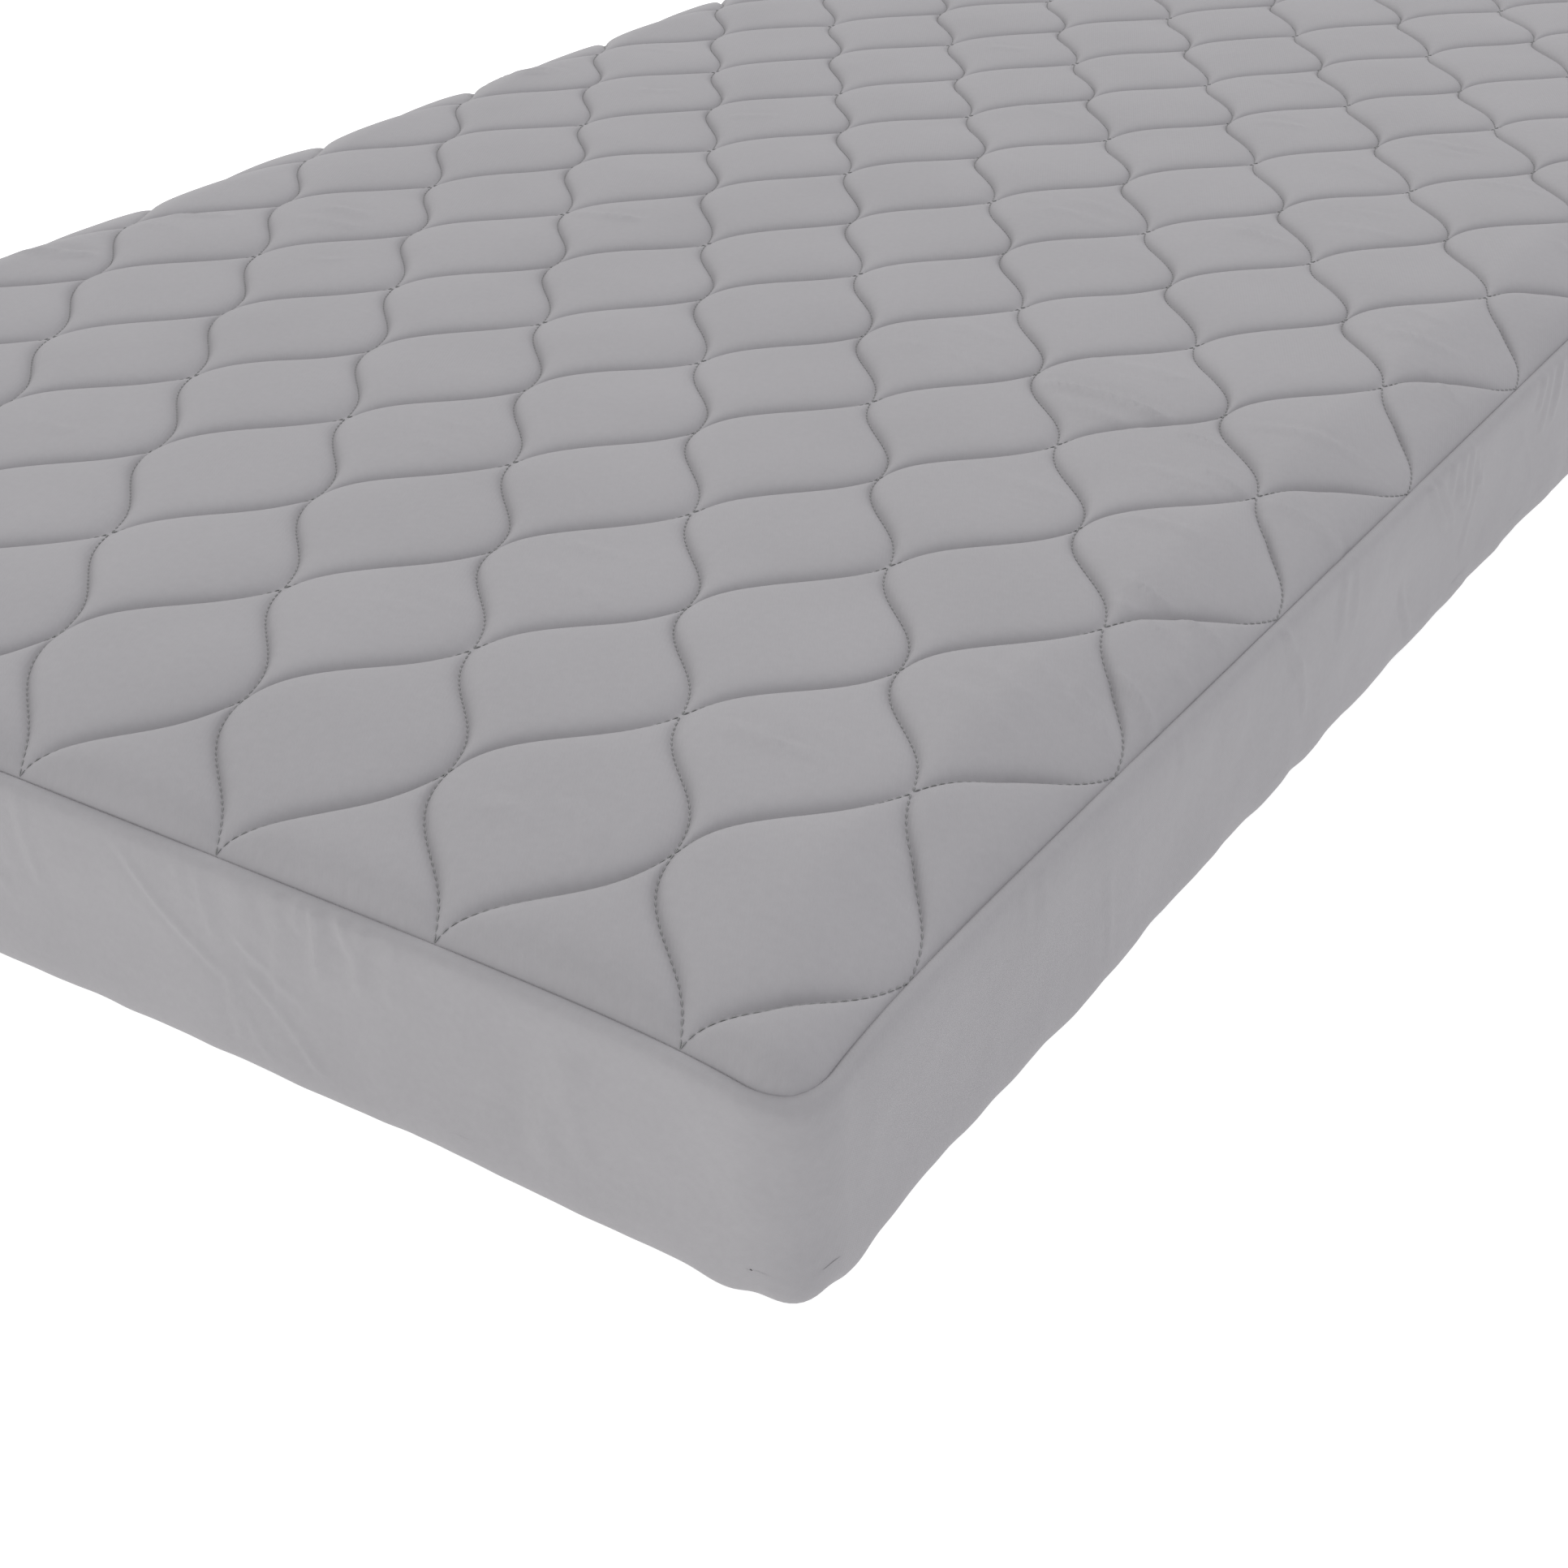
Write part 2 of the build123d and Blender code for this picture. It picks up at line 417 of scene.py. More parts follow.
def math_node(material, operation, a, b=None):
    made = node(material, "ShaderNodeMath", operation=operation)
    for socket, value in zip(made.inputs, (a, b)):
        if value is None:
            continue
        if isinstance(value, (int, float)):
            socket.default_value = value
        else:
            link(material, value, socket)
    return made.outputs[0]


def noise_at(material, place, **values):
    made = node(material, "ShaderNodeTexNoise", **values)
    link(material, place, made.inputs["Vector"])
    return made.outputs[0]


def emboss(material, shader, relief, strength, depth):
    """Roughens the surface by a fine relief."""
    height = node(material, "ShaderNodeBump", Strength=strength, Distance=depth)
    link(material, relief, height.inputs["Height"])
    link(material, height.outputs[0], shader.inputs["Normal"])


def grey(value, tint=(1.0, 1.0, 1.0)):
    return tuple(value * t for t in tint) + (1.0,)


def colour_by(material, shader, factor, dark, light, start=0.0, end=1.0):
    """Colours the surface from dark to light as factor goes from start to end."""
    made = node(material, "ShaderNodeValToRGB")
    for element, position, colour in zip(made.color_ramp.elements, (start, end), (dark, light)):
        element.position = position
        element.color = colour
    link(material, factor, made.inputs[0])
    link(material, made.outputs[0], shader.inputs["Base Color"])


COVER_TINT = (1.0, 0.975, 1.005)
COLOUR_VARIATION = 0.05
CLOTH_ROUGHNESS = 0.78
SHEEN = 0.04
YARN_RELIEF = 0.15 * MM


def cloth_material(name, albedo, tint=COVER_TINT, yarn=0.9 * MM, bump=0.25):
    """Fine knitted or woven cloth: two crossing sets of yarns, slow colour changes and a soft sheen."""
    material, shader = new_material(name)
    place = node(material, "ShaderNodeAttribute", attribute_name="cloth").outputs["Vector"]
    parts = node(material, "ShaderNodeSeparateXYZ")
    link(material, place, parts.inputs[0])
    turn = 2 * math.pi / yarn
    warp = math_node(material, "SINE", math_node(material, "MULTIPLY", parts.outputs[0], turn))
    weft = math_node(material, "SINE", math_node(material, "MULTIPLY", parts.outputs[1], turn))
    half_weft = math_node(material, "MULTIPLY", parts.outputs[1], 0.5)
    slant = math_node(material, "ADD", parts.outputs[0], half_weft)
    twill = math_node(material, "SINE", math_node(material, "MULTIPLY", slant, turn / 2))
    weave = math_node(material, "ADD", math_node(material, "MULTIPLY", warp, weft), twill)

    fuzz = math_node(material, "MULTIPLY", noise_at(material, place, Scale=900.0, Detail=2.0), 1.5)
    emboss(material, shader, math_node(material, "ADD", weave, fuzz), bump, YARN_RELIEF)

    slow = noise_at(material, place, Scale=7.0, Detail=4.0, Roughness=0.6)
    fine = noise_at(material, place, Scale=260.0, Detail=3.0)
    slow_share = math_node(material, "MULTIPLY", slow, 0.6)
    mixed = math_node(material, "ADD", slow_share, math_node(material, "MULTIPLY", fine, 0.4))
    dark = grey(albedo * (1 - COLOUR_VARIATION), tint)
    light = grey(albedo * (1 + COLOUR_VARIATION), tint)
    colour_by(material, shader, mixed, dark, light, 0.3, 0.7)
    rough = math_node(material, "MULTIPLY", fine, 0.1)
    link(material, math_node(material, "ADD", rough, CLOTH_ROUGHNESS), shader.inputs["Roughness"])
    shader.inputs["Sheen Weight"].default_value = SHEEN
    shader.inputs["Sheen Roughness"].default_value = 0.5
    shader.inputs["Specular IOR Level"].default_value = 0.3
    return material


def foam_material(name, colour):
    """Open-cell foam: a fine pitted surface."""
    material, shader = new_material(name)
    place = node(material, "ShaderNodeTexCoord").outputs["Object"]
    cells = node(material, "ShaderNodeTexVoronoi", Scale=600.0)
    link(material, place, cells.inputs["Vector"])
    clouds = noise_at(material, place, Scale=20.0, Detail=4.0)
    colour_by(material, shader, clouds, grey(0.85, colour), grey(1.0, colour))
    emboss(material, shader, cells.outputs["Distance"], 0.5, 0.4 * MM)
    shader.inputs["Roughness"].default_value = 0.95
    return material


def thread_material(name, albedo):
    """Twisted sewing thread, darker than the cloth."""
    material, shader = new_material(name)
    place = node(material, "ShaderNodeTexCoord").outputs["Object"]
    twist = noise_at(material, place, Scale=1500.0, Detail=2.0)
    colour_by(material, shader, twist, grey(albedo * 0.8), grey(albedo * 1.2))
    shader.inputs["Roughness"].default_value = 0.7
    return material


QUILT_CLOTH = cloth_material("quilt_cloth", 0.335, bump=0.12)
SKIRT_CLOTH = cloth_material("skirt_cloth", 0.335, bump=0.12)
HEM_CLOTH = cloth_material("hem_cloth", 0.32)
SLEEVE_STRETCH = cloth_material("sleeve_stretch", 0.75, (1, 1, 0.98), yarn=0.7 * MM)
SLEEVE_BASE = cloth_material("sleeve_base", 0.10, (0.95, 0.98, 1.08), yarn=1.2 * MM, bump=0.4)
ELASTIC = cloth_material("elastic", 0.7, (1, 1, 0.98), yarn=1.0 * MM, bump=0.5)
THREAD = thread_material("quilting_thread", 0.25)
BASE_FOAM = foam_material("base_foam", (0.55, 0.62, 0.70))
RELIEF_FOAM = foam_material("relief_foam", (0.78, 0.72, 0.52))
HEEL_FOAM = foam_material("heel_foam", (0.70, 0.60, 0.62))
BOLSTER_FOAM = foam_material("bolster_foam", (0.45, 0.48, 0.52))


# ------------ quilted panel

# Lines across one cell of the quilting, closer together beside the seams
SEAM_SIDE = [0, 0.009, 0.02, 0.034, 0.051, 0.072, 0.097, 0.127, 0.162]
SEAM_SIDE += [0.2, 0.24, 0.28, 0.32, 0.36, 0.4, 0.44, 0.48]
CELL_LINES = np.array(SEAM_SIDE + [0.5] + [1 - s for s in reversed(SEAM_SIDE)])
CELL_WIDTH = 92 * MM
CELL_STEPS = len(CELL_LINES) - 1
PILLOW_HEIGHT = 7.0 * MM
# A pillow rises in three parts, as shares of its height: a lip beside the stitching, a shoulder and a dome
LIP_SHARE = 0.55
LIP_RUN = 3.0 * MM
SHOULDER_SHARE = 0.27
SHOULDER_RUN = 12 * MM
DOME_SHARE = 0.18
NODE_SOFTNESS = 0.6
NODE_REACH = 13 * MM
SEAM_BED = 0.6 * MM
LAG = 0.017
END_LAG = 0.016
SIDE_PULL = 2.6 * MM
SIDE_PULL_REACH = 34 * MM
EDGE_HOLD = 5 * MM
SWAY_HEIGHT = 1.2 * MM
SWAY_SIZE = 0.11

# The panel and skirt are cut into lengths that each cross one fold. Rows of cells are numbered from the
# foot end, two to a repeat; the last row of each length, and the same places along the skirt:
LAST_ROWS = (9, 13, 2 * ALONG)
CUTS = (-HALF_LENGTH + 4.5 * REPEAT_Y, -HALF_LENGTH + 6.5 * REPEAT_Y)


def in_lengths(rows):
    """The numbers of the rows that are in each length."""
    starts = (-1, *LAST_ROWS[:-1])
    return [np.flatnonzero((rows > start) & (rows <= last)) for start, last in zip(starts, LAST_ROWS)]


def pillow(share):
    """How far the cloth has risen, 0 to 1, at a share of the way across a cell: steep beside the stitching,
    then nearly flat."""
    across = np.minimum(share, 1 - share) * CELL_WIDTH
    from_seam = np.hypot(across, SEAM_BED) - SEAM_BED
    lip = 1 - np.exp(-from_seam / LIP_RUN)
    shoulder = 1 - np.exp(-from_seam / SHOULDER_RUN)
    dome = np.sin(np.pi * share)
    return LIP_SHARE * lip + SHOULDER_SHARE * shoulder + DOME_SHARE * dome


def quilt_place(a, b):
    """Flat place on the quilt, in metres from its centre, for seam coordinates a and b. The seams swing from
    side to side, and lie a little more to one side beside the panel's ends."""
    across = (a - b) / 2
    along = (a + b - 1) / 2
    from_end = ALONG / 2 - np.abs(along - ALONG / 2)
    beside_end = END_LAG * np.sin(2 * np.pi * np.clip(from_end, 0, 0.5))
    swing = 2 * SWING * np.cos(2 * np.pi * along) - LAG - beside_end
    x = (across + swing * np.sin(2 * np.pi * across)) * REPEAT_X
    from_side = np.clip((HALF_WIDTH - np.abs(x)) / SIDE_PULL_REACH, 0, 1)
    return x - np.sign(x) * SIDE_PULL * np.sin(np.pi * from_side), (along - ALONG / 2) * REPEAT_Y


def quilt_surface(a, b):
    """The quilt's top surface over seam coordinates, whose whole numbers are the seams."""
    flat_x, flat_y = quilt_place(a, b)
    reach = REPEAT_X / 2
    pull_x = np.clip((np.abs(flat_x) - (HALF_WIDTH - reach)) / reach, 0, 1) ** 2
    pull_y = np.clip((np.abs(flat_y) - (HALF_LENGTH - reach)) / reach, 0, 1) ** 2
    x = flat_x - np.sign(flat_x) * pull_x * SEAM_INSET
    y = flat_y - np.sign(flat_y) * pull_y * SEAM_INSET
    from_side, from_end = edge_distances(x, y)
    held_down = (1 - np.exp(-from_side / EDGE_HOLD)) * (1 - np.exp(-from_end / EDGE_HOLD))
    from_node = np.hypot(np.minimum(a % 1, 1 - a % 1), np.minimum(b % 1, 1 - b % 1)) * CELL_WIDTH
    puff = pillow(a % 1) * pillow(b % 1) * held_down * (1 - NODE_SOFTNESS * np.exp(-from_node / NODE_REACH))
    z = SEAM_HEIGHT + (NODE_HEIGHT - SEAM_HEIGHT) * panel_level(x, y) + PILLOW_HEIGHT * puff - sag(x, y)
    x, y = round_corners(x, y, SEAM_HALF_WIDTH, SEAM_HALF_LENGTH, SEAM_CORNER)
    out = CORNER_POINT * corner_share(x, y)
    return x + np.sign(x) * out, y + np.sign(y) * out, z


def quilt_grid():
    """All points of the quilt, its faces, and the row of cells that each face is in."""
    low, high = -ACROSS // 2, ALONG + ACROSS // 2 + 1
    cells = np.arange(low, high)
    lines = np.concatenate([n + CELL_LINES[:-1] for n in cells] + [[high]])
    a, b = np.meshgrid(lines, lines, indexing="ij")
    hair = 1e-6
    along = a + b - 1
    held = (np.abs(a - b) <= ACROSS + hair) & (along >= -hair) & (along <= 2 * ALONG + hair)
    number = np.arange(a.size).reshape(a.shape)
    steps = np.arange(len(lines) - 1) // CELL_STEPS + low
    row = steps[:, None] + steps[None, :]
    return a.ravel(), b.ravel(), cell_corners(number), cell_corners(held), row


def sway(points):
    """Slow unevenness of the filling."""
    return SWAY_HEIGHT * wave_noise(points, SWAY_SIZE, 3.7, 2)


# The longest creases, in millimetres and degrees: x, y, heading, length, height, bow
LONG_CREASES = (
    (275, -440, -9, 105, 2.4, 5), (280, -462, -14, 70, 1.4, -4), (342, -464, -12, 48, 1.8, 2),
    (380, -428, 6, 78, 1.4, 4), (370, -503, -20, 42, 1.7, 3), (402, -633, -8, 72, 2.1, -5),
    (424, -706, -33, 52, 2.0, 4), (412, -728, -36, 44, 1.8, 3), (408, -306, -34, 38, 1.7, 2),
    (395, -650, -16, 50, 1.4, 2),
)


# How far from the stitching they are at their full height
CREASE_FADE = 14 * MM


def pillow_creases():
    """Where the cloth is pulled tight across the pillows: most often beside the two long edges."""
    pick = random.Random(41)
    folds = [
        (x * MM, y * MM, math.radians(heading), length * MM, 3.2 * MM, height * MM, bow * MM)
        for x, y, heading, length, height, bow in LONG_CREASES
    ]
    for row in range(2 * ALONG + 1):
        for across in range(-ACROSS, ACROSS + 1):
            if (row + across) % 2:
                continue
            x = across / 2 * REPEAT_X
            y = (row / 2 - ALONG / 2) * REPEAT_Y
            side = abs(across) / ACROSS
            for _ in range(pick.choice((0, 1, 2, 3)) if pick.random() < 0.25 + 0.6 * side ** 2 else 0):
                heading = -math.copysign(math.radians(pick.uniform(-4, 30)), x)
                reach = pick.uniform(26, 66) * MM
                place_x = x + pick.uniform(-24, 22) * MM
                place_y = y + pick.uniform(-26, 26) * MM
                width = pick.uniform(2.8, 4.2) * MM
                height = pick.uniform(0.7, 1.7) * MM * (0.5 + 0.5 * side)
                folds.append((place_x, place_y, heading, reach, width, height, pick.uniform(-6, 6) * MM))
    return folds


def quilt_lengths():
    """The quilted panel, as closed padded lengths that each cross one fold."""
    a, b, corners, inside, row = quilt_grid()
    x, y, z = quilt_surface(a, b)
    top = np.stack([x, y, z], -1)
    top[:, 2] += sway(top)
    from_seam = np.minimum(np.minimum(a % 1, 1 - a % 1), np.minimum(b % 1, 1 - b % 1)) * CELL_WIDTH
    top[:, 2] += creases(x, y, pillow_creases()) * ease(from_seam / CREASE_FADE)
    under = np.stack([x, y, under_panel(x, y, 0)], -1)
    flat_x, flat_y = quilt_place(a, b)
    cloth = np.stack([flat_x, flat_y, np.zeros_like(x)], -1)
    whole = inside.sum(-1) == 4
    cut = inside.sum(-1) == 3
    triangles = corners[cut][inside[cut]].reshape(-1, 3)
    faces = [tuple(face) for face in (*corners[whole], *triangles)]
    face_rows = np.concatenate([row[whole], row[cut]])
    normals = vertex_normals(top, faces)
    made = []
    for number, chosen in enumerate(in_lengths(face_rows)):
        kept = [faces[i] for i in chosen]
        made.append(shell(f"quilted_panel_{number + 1}", top, kept, normals, cloth, QUILT_CLOTH, under))
    return made


# ------------ thread

STITCH = 4.1 * MM
STITCH_SHARE = 0.86
THREAD_RADIUS = 0.36 * MM
THREAD_LIFT = 0.4 * MM
THREAD_DIP = 0.5 * MM
KISS_GAP = 0.9 * MM
KISS_FADE = 9
SEAM_SAMPLES = 61


def quilt_edges():
    """Every seam between two nodes, as its lower node (a, b) and the way it runs, with its row."""
    low, high = -ACROSS // 2, ALONG + ACROSS // 2
    found = []
    for a in range(low, high + 1):
        for b in range(low, high + 1):
            for step_a, step_b in ((1, 0), (0, 1)):
                end_a, end_b = a + step_a, b + step_b
                inside = max(abs(a - b), abs(end_a - end_b)) <= ACROSS
                if inside and a + b >= 1 and end_a + end_b <= 2 * ALONG + 1:
                    found.append((a, b, step_a, step_b, a + b))
    return np.array(found, float)


def stitch_spines():
    """Four points along every stitch, and the row of pillows that the stitch is in. Where two lines of
    stitching meet and turn back they stay a little apart, except at the panel's own edge."""
    fine = np.linspace(0, 1, SEAM_SAMPLES)
    spines, rows = [], []
    for a0, b0, step_a, step_b, row in quilt_edges():
        line = np.stack(quilt_surface(a0 + step_a * fine, b0 + step_b * fine), -1)
        at_end = row in (1, 2 * ALONG)
        if not at_end:
            turn = np.exp(-KISS_FADE * fine) if row % 2 else -np.exp(-KISS_FADE * (1 - fine))
            line[:, 1] += KISS_GAP * turn
        run = np.concatenate([[0], np.cumsum(np.linalg.norm(np.diff(line, axis=0), axis=1))])
        count = round(run[-1] / STITCH)
        centres = (np.arange(count)[:, None] + 0.5) / count
        places = (centres + STITCH_SHARE / count * np.linspace(-0.5, 0.5, 4)) * run[-1]
        spines.append(np.stack([np.interp(places, run, line[:, i]) for i in range(3)], -1))
        rows += [row] * count
    return np.concatenate(spines), np.array(rows)


def thread_lengths():
    """The quilting thread, as single stitches that dip into the cloth between one and the next."""
    spine, rows = stitch_spines()
    spine[:, :, 2] += sway(spine) + THREAD_LIFT
    spine[:, (0, 3), 2] -= THREAD_DIP
    run = spine[:, 3] - spine[:, 0]
    side = np.stack([run[:, 1], -run[:, 0], 0 * run[:, 0]], -1)
    side /= np.linalg.norm(side, axis=1)[:, None]
    thickness = THREAD_RADIUS * np.array([0.5, 1, 1, 0.5])
    sides = 5
    rings = []
    for corner in range(sides):
        turn = 2 * math.pi * corner / sides
        out = math.cos(turn) * side[:, None, :] + math.sin(turn) * np.array([0, 0, 1.0])
        rings.append(spine + out * thickness[None, :, None])
    points = np.stack(rings, 2).reshape(-1, 3)
    one = [
        (sides * s + c, sides * s + (c + 1) % sides, sides * (s + 1) + (c + 1) % sides, sides * (s + 1) + c)
        for s in range(3) for c in range(sides)
    ]
    last_ring = 3 * sides
    one += [tuple(range(sides))[::-1], tuple(range(last_ring, last_ring + sides))]
    made = []
    for number, chosen in enumerate(in_lengths(rows)):
        faces = [tuple(4 * sides * n + i for i in face) for n in chosen for face in one]
        used, kept = compact(points, [faces])
        made.append(make_piece(f"quilting_thread_{number + 1}", used, kept, THREAD))
    return made


# ------------ rings of cloth

EVEN_HALF = HALF_LENGTH - 160 * MM


class Outline:
    """The mattress's outline as rings of points. Rings at any inset have their points in the same order,
    anticlockwise from the middle of the head end, and at the same places along the long sides."""

    def __init__(self, step, corner_steps):
        marks = [-EVEN_HALF, *CUTS, EVEN_HALF]
        places = []
        for start, end in zip(marks, marks[1:]):
            places += list(np.linspace(start, end, round((end - start) / step), endpoint=False))
        extra = round((SEAM_HALF_LENGTH - EVEN_HALF) / step)
        self.places = np.array(places + [EVEN_HALF])
        self.tail = np.arange(1, extra + 1) / extra
        self.corner_steps = corner_steps
        self.half = round(SEAM_HALF_WIDTH / step)
        self.side = len(self.places) + 2 * extra + 2 * (corner_steps - 1)

    def ring(self, inset, radius):
        """One ring, as points and outward normals."""
        end_x = HALF_WIDTH - inset - radius
        end_y = HALF_LENGTH - inset - radius
        tail = EVEN_HALF + (end_y - EVEN_HALF) * self.tail
        up = np.concatenate([-tail[::-1], self.places, tail])
        short = np.linspace(-end_x, end_x, 2 * self.half + 1)
        points, normals = [], []

        def straight(values, fixed, normal):
            for value in values:
                points.append((value, fixed) if normal[0] == 0 else (fixed, value))
                normals.append(normal)

        def corner(cx, cy, start):
            for step in range(1, self.corner_steps):
                angle = math.radians(start + 90 * step / self.corner_steps)
                normals.append((math.cos(angle), math.sin(angle)))
                points.append((cx + radius * math.cos(angle), cy + radius * math.sin(angle)))

        straight(short[self.half::-1], end_y + radius, (0, 1))
        corner(-end_x, end_y, 90)
        straight(up[::-1], -end_x - radius, (-1, 0))
        corner(-end_x, -end_y, 180)
        straight(short, -end_y - radius, (0, -1))
        corner(end_x, -end_y, 270)
        straight(up, end_x + radius, (1, 0))
        corner(end_x, end_y, 0)
        straight(short[:self.half - 1:-1], end_y + radius, (0, 1))
        return np.array(points), np.array(normals)

    def level(self, inset, radius, height):
        """The points of one ring, at a height."""
        points = self.ring(inset, radius)[0]
        return np.column_stack([points, np.full(len(points), height)])

    def rows_across(self, last_ring):
        """Rows of points that fill a ring, from its left to its right, foot end first."""
        half = self.half
        left = last_ring[half + 1:][:self.side][::-1]
        foot = last_ring[half + 1 + self.side:][:2 * half + 1]
        right = last_ring[3 * half + 2 + self.side:][:self.side]
        head = np.concatenate([last_ring[:half + 1][::-1], last_ring[-half - 1:][::-1][1:]])
        share = np.linspace(0, 1, 2 * half + 1)[None, :, None]
        between = left[:, None] + (right - left)[:, None] * share
        return np.concatenate([foot[None], between, head[None]])


FINE = Outline(5 * MM, 16)
FINEST = Outline(2.8 * MM, 20)
COARSE = Outline(14 * MM, 8)


def grid_faces(count_down, count_round, first=0):
    """Faces of a grid of points."""
    number = first + np.arange(count_down * count_round).reshape(count_down, count_round)
    return cell_corners(number).reshape(-1, 4)


def arc_lengths(rows):
    """Lengths along each row of points."""
    steps = np.linalg.norm(np.diff(rows, axis=1), axis=2)
    return np.concatenate([np.zeros((len(rows), 1)), np.cumsum(steps, 1)], 1)


def cut_to_lengths(name, points, faces, cloth, material, thickness, apart=()):
    """Cuts a ring of cloth where the panel is cut. A length in apart is also cut into left and right."""
    points, cloth = points.reshape(-1, 3), cloth.reshape(-1, 3)
    faces = [tuple(face) for face in faces]
    centre = np.array([points[list(face)].mean(0) for face in faces])
    length = np.digitize(centre[:, 1], CUTS)
    normals = vertex_normals(points, faces)
    under = points - normals * thickness
    made = {}
    for number in range(len(CUTS) + 1):
        sides = {"_left": centre[:, 0] < 0, "_right": centre[:, 0] > 0} if number in apart else {"": True}
        for suffix, side in sides.items():
            kept = [faces[i] for i in np.flatnonzero((length == number) & side)]
            piece = shell(f"{name}_{number + 1}{suffix}", points, kept, normals, cloth, material, under)
            made[piece.name] = piece
    return made


# ------------ skirt

# Profile of the skirt, in millimetres, from its edge seam down and under: inset and height
SKIRT_PROFILE = [
    (9.0, 95.0), (7.6, 99.5), (6.9, 101.9), (5.8, 102.3), (4.0, 102.0), (2.3, 101.0), (1.1, 99.2),
    (0.4, 96.6), (0.0, 92.8), (-0.1, 88.0), (-0.2, 82.0), (-0.1, 74.0), (0.1, 66.0), (0.4, 58.0),
    (0.5, 50.0), (0.5, 42.0), (0.4, 34.5), (0.2, 27.5), (0.0, 21.0), (0.0, 15.5), (0.4, 11.0), (1.4, 7.4),
    (3.0, 4.8), (5.4, 3.2), (9.0, 2.2), (14.0, 1.7), (21.0, 1.5), (30.0, 1.4), (40.0, 1.4), (50.0, 1.4),
    (60.0, 1.4), (69.0, 1.3), (76.0, 1.3),
]
SKIRT_ROW = 2.6 * MM
SKIRT_UNDER_ROW = 6 * MM
SKIRT_CLOTH_THICKNESS = 0.9 * MM
HEM_INSET = 76 * MM
HEM_RADIUS = 60 * MM
TURN_UNDER = 9 * MM
LEAST_CORNER = 17 * MM
SIDE_BOTTOM = 8 * MM
BOTTOM_LIFT = 1.6 * MM
# What the bottom edge does near a corner: (distance from the corner, half width, drop)
CORNER_DROPS = ((0, 8 * MM, 2.8 * MM), (17 * MM, 7 * MM, -2.4 * MM), (34 * MM, 12 * MM, 2.4 * MM))
EAR_REACH = 13 * MM
EAR_OUT = 6 * MM
# Uneven cloth, as (height, size of one wave): ripples and slow waves in the side, a frill at the bottom
RIPPLE = (1.5 * MM, 0.075)
SLOW_WAVE = (2.2 * MM, 0.30)
FRILL = (2.4 * MM, 0.06)
PUSH_LIMITS = (-1.0 * MM, 4 * MM)
# The side is held at its seam, comes free over a short run, and hangs loose near the bottom edge
SEAM_HOLD = 8 * MM
SEAM_RUN = 26 * MM
BOTTOM_RUN = 40 * MM
FRILL_UNDER = 15 * MM


def skirt_corner(inset):
    """Corner radius of the skirt at an inset: parallel down the side, wider under the mattress."""
    share = np.clip((inset - TURN_UNDER) / (HEM_INSET - TURN_UNDER), 0, 1)
    outer = max(SEAM_CORNER + SEAM_INSET - inset, LEAST_CORNER)
    return outer * (1 - share) + HEM_RADIUS * share


def skirt_profile():
    """The profile in metres, with rows no further apart than SKIRT_ROW, and the length down the cloth."""
    rough = np.array(SKIRT_PROFILE) * MM
    rows = [rough[0]]
    for start, end in zip(rough, rough[1:]):
        row = SKIRT_ROW if start[0] < TURN_UNDER else SKIRT_UNDER_ROW
        count = max(1, math.ceil(math.dist(start, end) / row))
        rows += [start + (end - start) * n / count for n in range(1, count + 1)]
    rows = np.array(rows)
    steps = np.hypot(*np.diff(rows, axis=0).T)
    return rows, np.concatenate([[0], np.cumsum(steps)])


# The clearest creases in the skirt, in millimetres and degrees: x, y, height, heading, length, width, rise,
# bow. The heading is from level, turning down, for someone looking at that side from outside.
SIDE_CREASES = (
    (142, -1000, 69, 41, 84, 2.4, 1.1, 3), (200, -1000, 36, 46, 64, 2.4, 1.0, -3),
    (192, -1000, 60, 35, 50, 2.6, 0.7, 2), (171, -1000, 35, 84, 44, 2.8, 0.9, 4),
    (181, -1000, 24, 60, 40, 2.6, 0.7, 2), (201, -1000, 96, 112, 32, 3.0, 0.9, 2),
    (213, -1000, 98, 108, 30, 3.0, 1.6, 2), (222, -1000, 88, 92, 56, 3.5, 1.8, -2),
    (235, -1000, 98, 80, 38, 3.0, 1.8, 2), (243, -1000, 88, 100, 50, 3.5, 1.4, 2),
    (258, -1000, 83, 98, 36, 4.0, 0.8, 2), (333, -1000, 55, 112, 70, 7.5, 2.0, 3),
    (344, -1000, 48, 84, 40, 5.0, 0.9, 2), (60, -1000, 76, 80, 56, 3.5, 0.9, 3),
    (28, -1000, 66, 58, 70, 3.0, 0.8, 3), (440, -580, 88, 52, 66, 2.4, 1.1, 3),
    (440, -558, 58, 64, 54, 2.4, 0.9, -3), (440, -384, 84, 45, 84, 2.6, 1.1, 3),
    (440, -367, 79, 48, 72, 2.6, 0.9, -2), (440, -345, 78, 52, 42, 2.6, 1.0, 2),
    (440, -414, 36, 57, 52, 2.6, 1.0, 2), (440, -316, 76, 52, 40, 2.6, 0.9, 2),
)
SEAM_TO_TOP = 112
CORNER_PLAIN = 110 * MM


